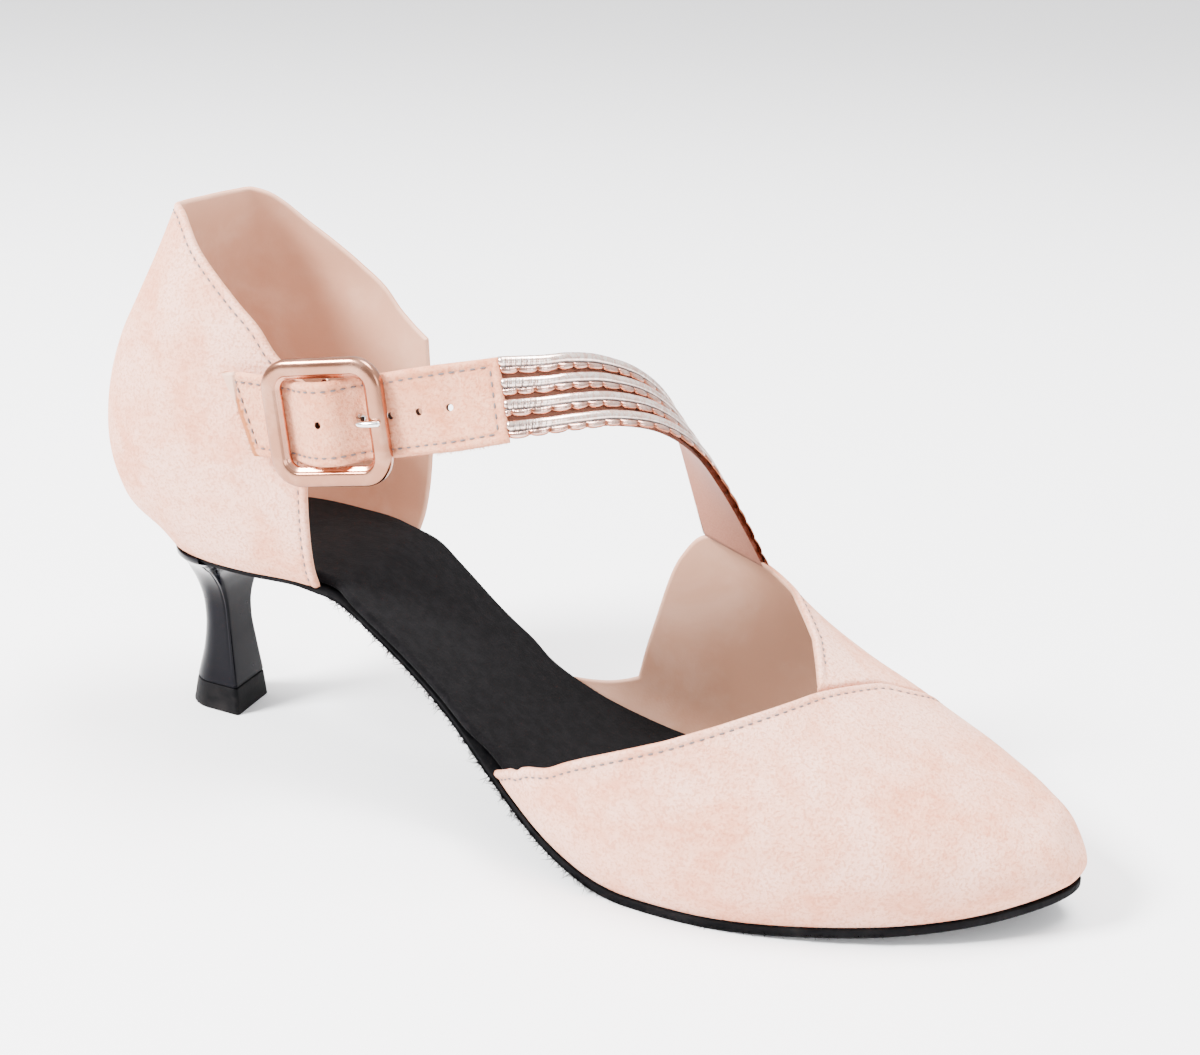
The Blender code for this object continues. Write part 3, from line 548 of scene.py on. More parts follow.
def skin(name, outer, inner, finishes, slot, nodes, folded=False, marks=None):
    """Closed wall between an outer and an inner grid. Finish 0 is outside and on the rim,
    1 inside.

    Where both grids meet in one point the wall closes by itself, elsewhere a rim joins them.
    """
    rows, columns = outer.shape[:2]
    count = rows * columns
    number = np.arange(count).reshape(rows, columns)
    last = number[1:, -1][:0 if folded else None]
    rim = np.concatenate([number[0, :], last, number[-1, -2::-1], number[-2:0:-1, 0]])
    after = np.roll(rim, -1)
    sides = np.stack([rim, rim + count, after + count, after], axis=-1)
    face = grid_quads(rows, columns)
    quads = np.concatenate([face, face[:, ::-1] + count, sides])
    kind = np.concatenate([np.zeros(len(face)), np.ones(len(face)), np.zeros(len(sides))])
    points = np.concatenate([outer.reshape(-1, 3), inner.reshape(-1, 3)])
    doubled = {mark: np.concatenate([np.ravel(value), np.ravel(value)])
               for mark, value in (marks or {}).items()}
    return new_piece(name, points, quads, finishes, nodes, kind, doubled)


def rounded_wall(face, free, wall, relief):
    """Outer and inner grid of a wall that rounds off towards its free edge.

    At the distance s from the edge both faces draw together by r - sqrt(r^2 - (r - s)^2),
    where r is half the wall. The relief is added to the outer face only.
    """
    normal = grid_normals(face)
    radius = 0.5 * wall
    draw = radius * (1 - round_off(free / radius))
    outer = face - normal * (draw - relief)[..., None]
    inner = face - normal * (wall - draw)[..., None]
    return outer, inner


def sewn_edge(free):
    """Relief beside a stitched edge: a soft roll at the edge and a trough under the thread."""
    roll = ROLL_HEIGHT * hump(free, 0.45 * STITCH_IN, 0.4 * STITCH_IN) * ease(free, 0, 0.7)
    return roll - GROOVE_DEPTH * hump(free, STITCH_IN, GROOVE_WIDTH)


def sewn_marks(free):
    """Marks beside a stitched edge: the stitch trough, which takes painted shade, and the cut
    rim, whose tan tint is partly painted shade.
    """
    return {"trough": hump(free, STITCH_IN, TROUGH_WIDTH),
            "raw": RIM_TAN_AND_SHADE * (1 - ease(free, 0.0, 0.5))}


def plain_marks(shape, raw):
    """Marks of a piece without a stitched line, raw all over by a share."""
    return {"trough": np.zeros(shape), "raw": np.full(shape, raw)}


def at_distance(grid, free, distance):
    """Line across a grid's rows at a distance from the free edge in column 0, with normals."""
    normal = grid_normals(grid)
    line = []
    turned = []
    for row in range(len(grid)):
        beyond = free[row] >= distance
        if not beyond.any():
            continue
        second = int(np.argmax(beyond))
        first = max(second - 1, 0)
        span = max(free[row, second] - free[row, first], 1e-6)
        share = np.clip((distance - free[row, first]) / span, 0, 1)
        line.append(grid[row, first] * (1 - share) + grid[row, second] * share)
        turned.append(normal[row, first])
    return np.array(line), np.array(turned)


def line_length(line):
    """Length along a line at each of its points."""
    return np.concatenate([[0], np.cumsum(np.linalg.norm(np.diff(line, axis=0), axis=1))])


def resampled(line, places):
    """Points of a line at lengths along it."""
    length = line_length(line)
    return np.stack([np.interp(places, length, line[:, i]) for i in range(line.shape[1])],
                    axis=-1)


def stitches(line, outward, spare=1.0):
    """Threads along a line: each an arched spindle, its radius and height those of a half
    wave, so that both ends dive into the leather. Returns points and quads."""
    total = line_length(line)[-1] - 2 * spare
    count = max(int(total / STITCH_PITCH), 1)
    middle = spare + total * (np.arange(count) + 0.5) / count
    step = 0.5 * STITCH_PITCH
    place = resampled(line, middle)
    ahead = unit(resampled(line, middle + step) - resampled(line, middle - step))
    out = unit(resampled(np.column_stack([line, outward]), middle)[:, 3:])
    out = unit(out - ahead * (out * ahead).sum(-1, keepdims=True))
    aside = np.cross(ahead, out)
    share = np.linspace(-1, 1, 6)
    along = 0.5 * STITCH_LENGTH * share
    radius = 0.5 * STITCH_DIAMETER * np.sqrt(np.clip(1 - share ** 4, 0, 1))
    height = THREAD_ARCH * np.cos(0.5 * np.pi * share) - THREAD_SINK
    turn = np.linspace(0, 2 * np.pi, 6, endpoint=False)
    wide = radius[:, None] * np.cos(turn)
    tall = height[:, None] + radius[:, None] * np.sin(turn)
    points = (place[:, None, None, :]
              + ahead[:, None, None, :] * along[None, :, None, None]
              + aside[:, None, None, :] * wide[None, :, :, None]
              + out[:, None, None, :] * tall[None, :, :, None])
    one = ring_quads(len(share), len(turn))
    size = len(share) * len(turn)
    quads = one[None] + size * np.arange(count)[:, None, None]
    return points.reshape(-1, 3), quads.reshape(-1, 4)


def joined(parts):
    """Points and quads of several pieces as one."""
    points = []
    quads = []
    first = 0
    for place, faces in parts:
        points.append(place)
        quads.append(faces + first)
        first += len(place)
    return np.concatenate(points), np.concatenate(quads)


def swept(path, wide, thick, section):
    """Rings of a section (across, out) carried along a path by its two side directions."""
    return (path[:, None, :] + wide[:, None, :] * section[..., 0][..., None]
            + thick[:, None, :] * section[..., 1][..., None])


# Finishes

def group(name, inputs, outputs):
    """Empty node group with named sockets; returns it with its two end nodes."""
    made = bpy.data.node_groups.new(name, "ShaderNodeTree")
    for label, kind, value in inputs:
        socket = made.interface.new_socket(label, in_out="INPUT", socket_type=kind)
        if value is not None:
            socket.default_value = value
    for label, kind in outputs:
        made.interface.new_socket(label, in_out="OUTPUT", socket_type=kind)
    return made, made.nodes.new("NodeGroupInput"), made.nodes.new("NodeGroupOutput")


class Wires:
    """Short way to add and link the nodes of one tree."""

    def __init__(self, tree):
        self.tree = tree

    def add(self, kind, **settings):
        node = self.tree.nodes.new(kind)
        for key, value in settings.items():
            setattr(node, key, value)
        return node

    def place(self):
        """Place on the piece itself, in metres."""
        return self.add("ShaderNodeTexCoord").outputs["Object"]

    def feed(self, socket, value):
        """Links an output into a socket, or sets a plain value on it."""
        if isinstance(value, bpy.types.NodeSocket):
            self.tree.links.new(value, socket)
        elif isinstance(value, (tuple, list)) and len(value) == 3 and socket.type == "RGBA":
            socket.default_value = (*value, 1.0)
        else:
            socket.default_value = value

    def sums(self, operation, first, second, third=None, clamp=False):
        """Math node with its values."""
        node = self.add("ShaderNodeMath", operation=operation, use_clamp=clamp)
        self.feed(node.inputs[0], first)
        self.feed(node.inputs[1], second)
        if third is not None:
            self.feed(node.inputs[2], third)
        return node.outputs[0]

    def noise(self, place, scale, detail, roughness=0.5, distortion=0.0):
        """Noise at a place, about 0 to 1."""
        node = self.add("ShaderNodeTexNoise")
        self.feed(node.inputs["Vector"], place)
        self.feed(node.inputs["Scale"], scale)
        node.inputs["Detail"].default_value = detail
        node.inputs["Roughness"].default_value = roughness
        node.inputs["Distortion"].default_value = distortion
        return node.outputs["Fac"]

    def span(self, value, low, high, to_low=0.0, to_high=1.0):
        """Value moved from one range to another by a smooth step."""
        node = self.add("ShaderNodeMapRange", interpolation_type="SMOOTHSTEP")
        for socket, number in zip(node.inputs, (value, low, high, to_low, to_high)):
            self.feed(socket, number)
        return node.outputs[0]

    def mix(self, share, first, second):
        """Colour between two by a share."""
        node = self.add("ShaderNodeMix", data_type="RGBA")
        self.feed(node.inputs[0], share)
        self.feed(node.inputs[6], first)
        self.feed(node.inputs[7], second)
        return node.outputs[2]

    def stretched(self, place, scale, turn=(0, 0, 0)):
        """Place scaled by axis and turned."""
        node = self.add("ShaderNodeMapping")
        self.feed(node.inputs["Vector"], place)
        node.inputs["Scale"].default_value = scale
        node.inputs["Rotation"].default_value = turn
        return node.outputs[0]


def nap_group():
    """Nap of suede and velvet: broad brushed patches, fine mottling and a height of short
    fibres, from noise at three sizes over the piece's own place in metres."""
    made, start, end = group("nap", (("Patch Scale", "NodeSocketFloat", 90.0),
                                     ("Fibre Scale", "NodeSocketFloat", 2600.0)),
                             (("Patches", "NodeSocketFloat"), ("Mottle", "NodeSocketFloat"),
                              ("Speck", "NodeSocketFloat"), ("Height", "NodeSocketFloat")))
    wires = Wires(made)
    place = wires.place()
    broad = wires.noise(place, start.outputs["Patch Scale"], 3.0, 0.55, 0.6)
    middle_scale = wires.sums("MULTIPLY", start.outputs["Patch Scale"], 6.5)
    middle = wires.noise(wires.stretched(place, (0.7, 1.0, 1.3)), middle_scale, 4.0, 0.6, 0.3)
    fibre = wires.noise(place, start.outputs["Fibre Scale"], 3.0, 0.65)
    wires.feed(end.inputs["Patches"], wires.span(broad, 0.35, 0.68))
    wires.feed(end.inputs["Mottle"], wires.span(middle, 0.36, 0.66))
    wires.feed(end.inputs["Speck"], wires.span(fibre, 0.47, 0.62))
    height = wires.sums("MULTIPLY_ADD", middle, 0.45, fibre)
    wires.feed(end.inputs["Height"], height)
    return made


def wear_group():
    """Dust and rubbing: a mask of soft clouds and one of fine scratches stretched one way."""
    made, start, end = group("wear", (("Cloud Scale", "NodeSocketFloat", 60.0),
                                      ("Scratch Scale", "NodeSocketFloat", 500.0)),
                             (("Clouds", "NodeSocketFloat"), ("Scratches", "NodeSocketFloat")))
    wires = Wires(made)
    place = wires.place()
    clouds = wires.noise(place, start.outputs["Cloud Scale"], 5.0, 0.6, 0.4)
    drawn = wires.stretched(place, (0.15, 1.0, 1.6), (0.0, 0.5, 0.3))
    lines = wires.noise(drawn, start.outputs["Scratch Scale"], 2.0, 0.5)
    wires.feed(end.inputs["Clouds"], wires.span(clouds, 0.42, 0.75))
    wires.feed(end.inputs["Scratches"], wires.span(lines, 0.66, 0.74))
    return made


NAP = nap_group()
WEAR = wear_group()


def finish(name, **fixed):
    """Material with a Principled shader whose plain values are set on its own sockets."""
    made = bpy.data.materials.new(name)
    made.use_nodes = True
    shader = made.node_tree.nodes["Principled BSDF"]
    wires = Wires(made.node_tree)
    for label, value in fixed.items():
        wires.feed(shader.inputs[label.replace("_", " ")], value)
    return made, shader, wires


def placed(wires, made, **values):
    """A shared group put into a material with its own values."""
    node = wires.add("ShaderNodeGroup", node_tree=made)
    for label, value in values.items():
        node.inputs[label.replace("_", " ")].default_value = value
    return node.outputs


def bumped(wires, shader, height, distance, strength=1.0):
    """Bump from a height in millimetres times distance."""
    node = wires.add("ShaderNodeBump")
    node.inputs["Strength"].default_value = strength
    node.inputs["Distance"].default_value = distance * MM
    wires.feed(node.inputs["Height"], height)
    wires.feed(shader.inputs["Normal"], node.outputs[0])


def mark(wires, name):
    """A named value stored on the piece's points."""
    return wires.add("ShaderNodeAttribute", attribute_name=name).outputs["Fac"]


SPECK_SHADE = (0.560, 0.185, 0.095)
# deep brown for the painted shade in the stitch trough
TROUGH_PAINTED_SHADE = (0.400, 0.150, 0.085)
RAW_SHADE = (0.400, 0.130, 0.045)


def suede_finish(name, shade, light, brushed, grain):
    """Blush suede: warm shade in the nap's hollows, paler brushed patches, a speckle of
    fibre ends, painted shade along the stitch trough and the wing's underlap, and a raw tan
    cut where the piece says so, which on sewn rims also stands for painted shade."""
    made, shader, wires = finish(name, Roughness=0.95, Sheen_Weight=0.14,
                                 Sheen_Roughness=0.4, Sheen_Tint=(1.0, 0.86, 0.80),
                                 Specular_IOR_Level=0.12)
    nap = placed(wires, NAP, Patch_Scale=62.0, Fibre_Scale=1500.0)
    tone = wires.mix(nap["Mottle"], shade, light)
    tone = wires.mix(wires.sums("MULTIPLY", nap["Patches"], 0.60), tone, brushed)
    tone = wires.mix(wires.sums("MULTIPLY", nap["Speck"], grain), tone, SPECK_SHADE)
    # painted shade: the stitch trough, and on the wing its underlap, darkened towards deep brown
    trough_shade = wires.sums("MULTIPLY", mark(wires, "trough"), 0.35)
    tone = wires.mix(trough_shade, tone, TROUGH_PAINTED_SHADE)
    # tan raw cut; on sewn rims the same tint is painted shade at the edge
    tone = wires.mix(mark(wires, "raw"), tone, RAW_SHADE)
    wires.feed(shader.inputs["Base Color"], tone)
    bumped(wires, shader, nap["Height"], 0.45, 1.0)
    return made


def lining_finish():
    """Smooth pinkish tan lining leather with faint pores and rubbed clouds."""
    made, shader, wires = finish("tan_lining", Roughness=0.55)
    worn = placed(wires, WEAR, Cloud_Scale=45.0, Scratch_Scale=900.0)
    place = wires.place()
    pores = wires.noise(place, 1800.0, 2.0)
    tone = wires.mix(worn["Clouds"], (0.600, 0.310, 0.200), (0.680, 0.390, 0.270))
    wires.feed(shader.inputs["Base Color"], tone)
    bumped(wires, shader, pores, 0.06, 0.6)
    return made


def thread_finish():
    """Grey taupe sewing thread with a fine twist."""
    made, shader, wires = finish("taupe_thread", Roughness=0.6, Sheen_Weight=0.2)
    place = wires.place()
    twist = wires.noise(wires.stretched(place, (1.0, 1.0, 3.0), (0.4, 0.7, 0.0)), 4200.0, 1.0)
    tone = wires.mix(twist, (0.070, 0.052, 0.050), (0.170, 0.130, 0.120))
    wires.feed(shader.inputs["Base Color"], tone)
    bumped(wires, shader, twist, 0.10, 0.6)
    return made


def punched_finish():
    """Cut inside a punched hole, near black as painted shade of the hole, uneven as torn fibres
    are.
    """
    made, shader, wires = finish("punched_hole_shade", Roughness=0.9, Specular_IOR_Level=0.1)
    place = wires.place()
    torn = wires.noise(place, 2600.0, 2.0)
    wires.feed(shader.inputs["Base Color"], wires.mix(torn, (0.020, 0.007, 0.004),
                                                      (0.075, 0.026, 0.014)))
    bumped(wires, shader, torn, 0.12, 0.8)
    return made


def sole_finish():
    """Matt black sole edge with faint grey dust and grain."""
    made, shader, wires = finish("black_sole_edge", Specular_IOR_Level=0.04)
    nap = placed(wires, NAP, Patch_Scale=60.0, Fibre_Scale=1500.0)
    worn = placed(wires, WEAR, Cloud_Scale=120.0, Scratch_Scale=700.0)
    tone = wires.mix(nap["Mottle"], (0.0015, 0.0015, 0.002), (0.004, 0.0038, 0.0042))
    dust = wires.sums("MULTIPLY", worn["Clouds"], 0.30)
    tone = wires.mix(dust, tone, (0.020, 0.019, 0.020))
    wires.feed(shader.inputs["Base Color"], tone)
    wires.feed(shader.inputs["Roughness"], wires.span(nap["Mottle"], 0.0, 1.0, 0.55, 0.8))
    bumped(wires, shader, nap["Height"], 0.10, 0.6)
    return made


def cloth_finish():
    """Black velvety sock cloth: deep black with a soft grey bloom."""
    made, shader, wires = finish("black_sock_cloth", Roughness=0.95, Sheen_Weight=0.03,
                                 Sheen_Roughness=0.5, Specular_IOR_Level=0.06)
    nap = placed(wires, NAP, Patch_Scale=70.0, Fibre_Scale=2200.0)
    tone = wires.mix(nap["Mottle"], (0.0020, 0.0018, 0.0022), (0.0042, 0.0038, 0.0044))
    wires.feed(shader.inputs["Base Color"], tone)
    bumped(wires, shader, nap["Height"], 0.22, 0.8)
    return made


def lacquer_finish():
    """Gloss black heel lacquer: clear coat over black, faint waviness and rubbed patches."""
    made, shader, wires = finish("gloss_black_lacquer", Coat_Weight=0.07, Coat_Roughness=0.05,
                                 Specular_IOR_Level=0.05)
    worn = placed(wires, WEAR, Cloud_Scale=90.0, Scratch_Scale=420.0)
    place = wires.place()
    tone = wires.mix(worn["Clouds"], (0.0008, 0.0008, 0.0022), (0.002, 0.002, 0.0042))
    wires.feed(shader.inputs["Base Color"], tone)
    rub = wires.sums("MULTIPLY_ADD", worn["Clouds"], 0.10, 0.13)
    wires.feed(shader.inputs["Roughness"], wires.sums("MULTIPLY_ADD", worn["Scratches"], 0.12,
                                                      rub))
    bumped(wires, shader, wires.noise(place, 260.0, 2.0), 0.05, 0.35)
    return made


def rubber_finish():
    """Matt black tread rubber, a little grey where it is scuffed near the floor."""
    made, shader, wires = finish("black_tread_rubber", Specular_IOR_Level=0.05)
    worn = placed(wires, WEAR, Cloud_Scale=220.0, Scratch_Scale=900.0)
    place = wires.place()
    height = wires.add("ShaderNodeSeparateXYZ")
    wires.feed(height.inputs[0], place)
    low = wires.span(height.outputs["Z"], 0.0, 0.0035, 1.0, 0.0)
    scuff = wires.sums("MULTIPLY", wires.sums("MULTIPLY_ADD", low, 0.5, worn["Clouds"]), 0.4,
                       clamp=True)
    wires.feed(shader.inputs["Base Color"], wires.mix(scuff, (0.002, 0.002, 0.0025),
                                                      (0.020, 0.018, 0.018)))
    wires.feed(shader.inputs["Roughness"], wires.span(worn["Clouds"], 0, 1, 0.5, 0.75))
    bumped(wires, shader, wires.noise(place, 1600.0, 3.0), 0.06, 0.5)
    return made


def rose_finish(name, rough, tone_low, tone_high):
    """Rose gold plating, satin or polished by its roughness, with fine brushing."""
    made, shader, wires = finish(name, Metallic=1.0)
    worn = placed(wires, WEAR, Cloud_Scale=130.0, Scratch_Scale=1400.0)
    wires.feed(shader.inputs["Base Color"], wires.mix(worn["Clouds"], tone_low, tone_high))
    spread = wires.span(worn["Clouds"], 0, 1, rough, rough + 0.07)
    wires.feed(shader.inputs["Roughness"], wires.sums("MULTIPLY_ADD", worn["Scratches"], 0.06,
                                                      spread))
    place = wires.place()
    bumped(wires, shader, wires.noise(place, 3000.0, 2.0), 0.012, 0.5)
    return made


def foil_finish():
    """Metallic foil tape: silver to rose, wrinkled, with a copper tint on the flange, painted
    shade in its scallop notches, and painted shade in the creases and pleats.
    """
    made, shader, wires = finish("rose_silver_foil", Metallic=1.0)
    place = wires.place()
    crumple = wires.noise(place, 900.0, 3.0, 0.6, 0.8)
    grain = wires.noise(place, 4000.0, 2.0)
    tone = wires.mix(wires.span(crumple, 0.35, 0.65), (0.800, 0.540, 0.450),
                     (0.960, 0.820, 0.750))
    # copper tint on the flange, with painted shade in the scallop notches
    tone = wires.mix(mark(wires, "copper_tint_and_notch_shade"), tone, (0.360, 0.125, 0.070))
    # painted shade in the crease under the cord and in the gathered pleats
    tone = wires.mix(mark(wires, "crease"), tone, (0.085, 0.065, 0.062))
    wires.feed(shader.inputs["Base Color"], tone)
    wires.feed(shader.inputs["Roughness"], wires.span(crumple, 0.3, 0.7, 0.19, 0.26))
    bumped(wires, shader, wires.sums("MULTIPLY_ADD", grain, 0.2, crumple), 0.025, 0.5)
    return made


def ribbon_finish():
    """Copper brown ribbon behind the tapes, finely ribbed across; its dark brown also stands for
    painted shade in the gaps and notches between them.
    """
    made, shader, wires = finish("copper_ribbon_and_gap_shade", Roughness=0.6, Sheen_Weight=0.1)
    place = wires.place()
    ribs = wires.noise(wires.stretched(place, (1.0, 0.25, 1.0)), 3200.0, 1.0)
    tone = wires.mix(ribs, (0.250, 0.090, 0.052), (0.380, 0.155, 0.098))
    wires.feed(shader.inputs["Base Color"], tone)
    bumped(wires, shader, ribs, 0.08, 0.7)
    return made


SUEDE = suede_finish("blush_suede", (0.740, 0.315, 0.195), (0.820, 0.400, 0.270),
                     (0.910, 0.590, 0.470), 0.50)
STRAP_SUEDE = suede_finish("strap_suede", (0.640, 0.240, 0.125), (0.730, 0.320, 0.185),
                           (0.800, 0.410, 0.270), 0.62)
LINING = lining_finish()
THREAD = thread_finish()
# near-black walls of the punched holes: painted shade
PUNCHED_HOLE_SHADE = punched_finish()
SOLE = sole_finish()
CLOTH = cloth_finish()
LACQUER = lacquer_finish()
RUBBER = rubber_finish()
SATIN_ROSE = rose_finish("satin_rose_gold", 0.21, (0.320, 0.145, 0.090), (0.450, 0.235, 0.160))
# paler copy of the rose gold for the frame's inner rim: a painted highlight
ROSE_RIM_HIGHLIGHT = rose_finish("rose_gold_rim_highlight", 0.24, (0.500, 0.230, 0.150), (0.600, 0.310, 0.215))
SILVER = rose_finish("bright_silver", 0.16, (0.740, 0.730, 0.720), (0.860, 0.850, 0.840))
FOIL = foil_finish()
RIBBON = ribbon_finish()


# Upper

def soft_creases(grid, creases):
    """Relief of listed creases: each a trough of its depth with a low ridge on both
    sides, along a line between points of the last, fading to its ends.

    creases has rows (from point, to point, half width, depth).
    """
    relief = np.zeros(grid.shape[:2])
    for first, last, width, depth in creases:
        first, last = np.array(first, float), np.array(last, float)
        run = last - first
        share = ((grid - first) @ run) / (run @ run)
        away = np.linalg.norm(grid - first - np.clip(share, 0, 1)[..., None] * run, axis=-1)
        fade = ease(share, -0.15, 0.35) * (1 - ease(share, 0.65, 1.15))
        relief -= depth * fade * (hump(away, 0, width) - 0.45 * hump(away, 2.2 * width, width))
    return relief


VAMP_CREASES = (
    ((158, -36, 16), (172, -12, 40), 3.2, 0.30),
    ((168, -36, 12), (186, -8, 38), 3.6, 0.26),
    ((182, -34, 12), (196, 0, 36), 4.0, 0.18),
    ((142, -34, 14), (152, -26, 34), 3.0, 0.25),
)
QUARTER_CREASES = (
    ((52, -30, 66), (60, -27, 84), 3.0, 0.22),
    ((12, -26, 98), (38, -30, 92), 4.0, 0.20),
    ((20, -28, 60), (44, -30, 70), 5.0, 0.16),
)


def vamp_grid():
    """Outer face of the vamp: rows across, columns from its back edge forward to the toe,
    crowded at the edge and then spread by a quarter sine so that the toe is round."""
    across = np.linspace(-1, 1, 201)[:, None]
    edge = smooth(across, PANEL_EDGE["across"], PANEL_EDGE["along"])
    near = crowded(EDGE_FINE, 36)[None, :] / SOLE_LENGTH
    start = edge + near[:, -1:]
    far = np.sin(np.linspace(0, 1, 62)[None, 1:] * np.pi / 2)
    along = np.concatenate([edge + near, start + (1 - start) * far], axis=1)
    return last_surface(across + 0 * along, along), along


def make_vamp():
    """Closed toe with its lateral wing: folded, stitched back edge and lining inside."""
    grid, along = vamp_grid()
    free = distance_to(grid, grid[:, 0])
    relief = sewn_edge(free) + soft_creases(grid, VAMP_CREASES)
    outer, inner = rounded_wall(grid, free, UPPER_WALL, relief)
    inner[[0, -1], :, 2] = outer[[0, -1], :, 2]
    inner[:, -1] = grid[:, -1] - np.array([UPPER_WALL, 0, 0])
    skin("vamp_skin", outer, inner, (SUEDE, LINING), "suede", ("vamp",), folded=True,
         marks=sewn_marks(free))
    line, turned = at_distance(outer, free, STITCH_IN)
    return stitches(line, turned)


def make_wing():
    """Medial wing: its front margin steps down and runs on under the vamp's edge."""
    across = np.linspace(WING_EDGE["across"][0], 1, 121)[:, None]
    back = smooth(across, WING_EDGE["across"], WING_EDGE["along"])
    seam = smooth(across, PANEL_EDGE["across"], PANEL_EDGE["along"])
    front = seam + UNDERLAP / SOLE_LENGTH
    fine = np.minimum(EDGE_FINE / SOLE_LENGTH, 0.5 * (seam - back))
    near = crowded(1.0, 34)[None, :] * fine
    start = back + near[:, -1:]
    far = 1 - (1 - np.linspace(0, 1, 70)[None, 1:]) ** 1.25
    along = np.concatenate([back + near, start + (front - start) * far], axis=1)
    grid = last_surface(across + 0 * along, along)
    before = (seam - along) * SOLE_LENGTH
    dip = (UPPER_WALL + SEAM_CLEARANCE) * (1 - ease(before, -0.3, 1.3))
    wall = UPPER_WALL - (UPPER_WALL - UNDERLAP_WALL) * (1 - ease(before, -0.5, 3.0))
    free = distance_to(grid, grid[:, 0])
    normal = grid_normals(grid)
    beside = ease(before, 0.5, 3.0)
    relief = sewn_edge(free) * beside
    outer, inner = rounded_wall(grid, free, wall, relief)
    outer = outer - normal * dip[..., None]
    inner = inner - normal * dip[..., None]
    inner[-1, :, 2] = outer[-1, :, 2] = grid[-1, :, 2]
    marks = sewn_marks(free)
    # painted shade in the wing's underlap beneath the vamp's edge, added to the stitch trough's
    marks["trough"] = np.maximum(marks["trough"] * beside, 1 - ease(before, -0.2, 1.2))
    skin("wing_skin", outer, inner, (SUEDE, LINING), "suede", ("vamp_medial_wing",),
         marks=marks)
    line, turned = at_distance(outer, free, STITCH_IN)
    return stitches(line[8:], turned[8:])


def counter_round(turns):
    """Sole's edge round the heel seat from lateral front (-1) to medial front (1): points,
    outward normals and shares of the sole's length."""
    shares = COUNTER_FRONT * np.linspace(1, 0, 161) ** 2
    lateral, medial = sole_sides(shares)
    x = forward(shares)
    points = np.concatenate([np.stack([x, lateral], axis=-1),
                             np.stack([x, medial], axis=-1)[-2::-1]])
    middle = len(shares) - 1
    length = line_length(points)
    turn = np.where(length < length[middle], length / length[middle] - 1,
                    (length - length[middle]) / (length[-1] - length[middle]))
    place = np.stack([np.interp(turns, turn, points[:, i]) for i in (0, 1)], axis=-1)
    step = 0.02
    ahead = unit(np.stack([np.interp(turns + step, turn, points[:, i])
                           - np.interp(turns - step, turn, points[:, i]) for i in (0, 1)],
                          axis=-1))
    outward = np.stack([ahead[:, 1], -ahead[:, 0]], axis=-1)
    return place, -outward, share_of_sole(place[:, 0])


def counter_surface(turns, steps):
    """Outer face of the quarter: the seat's edge, carried up and pushed out by the table."""
    place, outward, shares = counter_round(turns)
    top = smooth(np.abs(turns), COUNTER_TOP["round"], COUNTER_TOP["height"])
    level = top[:, None] * steps[None, :] ** COUNTER_ROW_CROWDING
    back = BALL_WIDTH * smooth(level, COUNTER["height"], COUNTER["back"])
    side = BALL_WIDTH * smooth(level, COUNTER["height"], COUNTER["side"])
    rearness = np.clip(-outward[:, :1], 0, 1) ** COUNTER_BACK_FOCUS
    out = side + (back - side) * rearness
    plan = place[:, None, :] + outward[:, None, :] * out[..., None]
    height = feather_height(shares)[:, None] + COUNTER_HEIGHT * level
    return np.concatenate([plan, height[..., None]], axis=-1)


def make_quarter():
    """Heel cup: folded and stitched along its top line and both front edges."""
    turns = from_both_edges(2, FRONT_FINE, 26, 95) - 1
    steps = 1 - from_edge(1, TOP_FINE, 30, 60)[::-1]
    grid = counter_surface(turns, steps)
    edge = np.concatenate([grid[0, :], grid[1:, -1], grid[-1, -2::-1]])
    free = distance_to(grid, edge)
    relief = sewn_edge(free) + soft_creases(grid, QUARTER_CREASES)
    outer, inner = rounded_wall(grid, free, UPPER_WALL, relief)
    inner[:, 0, 2] = outer[:, 0, 2]
    skin("quarter_skin", outer, inner, (SUEDE, LINING), "suede", ("quarter",),
         marks=sewn_marks(free))
    top_line, top_turned = at_distance(outer[:, ::-1], distance_to(grid, grid[:, -1])[:, ::-1],
                                       STITCH_IN)
    reach = distance_to(top_line[None], grid[0])[0]
    other = distance_to(top_line[None], grid[-1])[0]
    kept = (reach > STITCH_IN) & (other > STITCH_IN)
    sewn = [stitches(top_line[kept], -top_turned[kept])]
    for rows in (outer, outer[::-1]):
        sheet = np.swapaxes(rows, 0, 1)
        away = distance_to(sheet, sheet[:, 0])
        line, turned = at_distance(sheet, away, STITCH_IN)
        inside = (line[:, 2] < rows[0, -1, 2] - STITCH_IN)
        outward = unit(line * np.array([0, 1, 0]))
        sewn.append(stitches(line[inside], outward[inside]))
    return joined(sewn)


# Strap, tab, buckle and tapes

def buckle_axes():
    """Buckle's directions along the strap, up its width and outward, as rows."""
    along = unit(BUCKLE_FORWARD)
    outward = unit(np.cross(along, BUCKLE_UP))
    return np.stack([along, np.cross(outward, along), outward])


AXES = buckle_axes()


def from_buckle(points):
    """Points along, up and out from the buckle's middle, put in their place on the shoe."""
    return BUCKLE_PLACE + np.asarray(points, float) @ AXES


def strap_middle(along):
    """Middle line of the strap at places along it."""
    rise, out = (smooth(along, STRAP_WAY["along"], STRAP_WAY[name]) for name in ("up", "out"))
    return from_buckle(np.stack([along, rise, out], axis=-1))


def strap_frames(along):
    """Middle line, up and outward directions of the strap at places along it."""
    step = 0.2
    first, last = STRAP_WAY["along"][[0, -1]]
    before = np.maximum(along - step, first)
    after = np.minimum(along + step, last)
    ahead = unit(strap_middle(after) - strap_middle(before))
    start = BUCKLE_LENGTH / 2
    share = np.clip((along - start) / (last - start), 0, 1)
    share = (share * share * (3 - 2 * share))[..., None]
    up = unit(AXES[1] * (1 - share) + unit(STRAP_END_UP) * share)
    outward = unit(np.cross(ahead, up))
    return strap_middle(along), np.cross(outward, ahead), outward


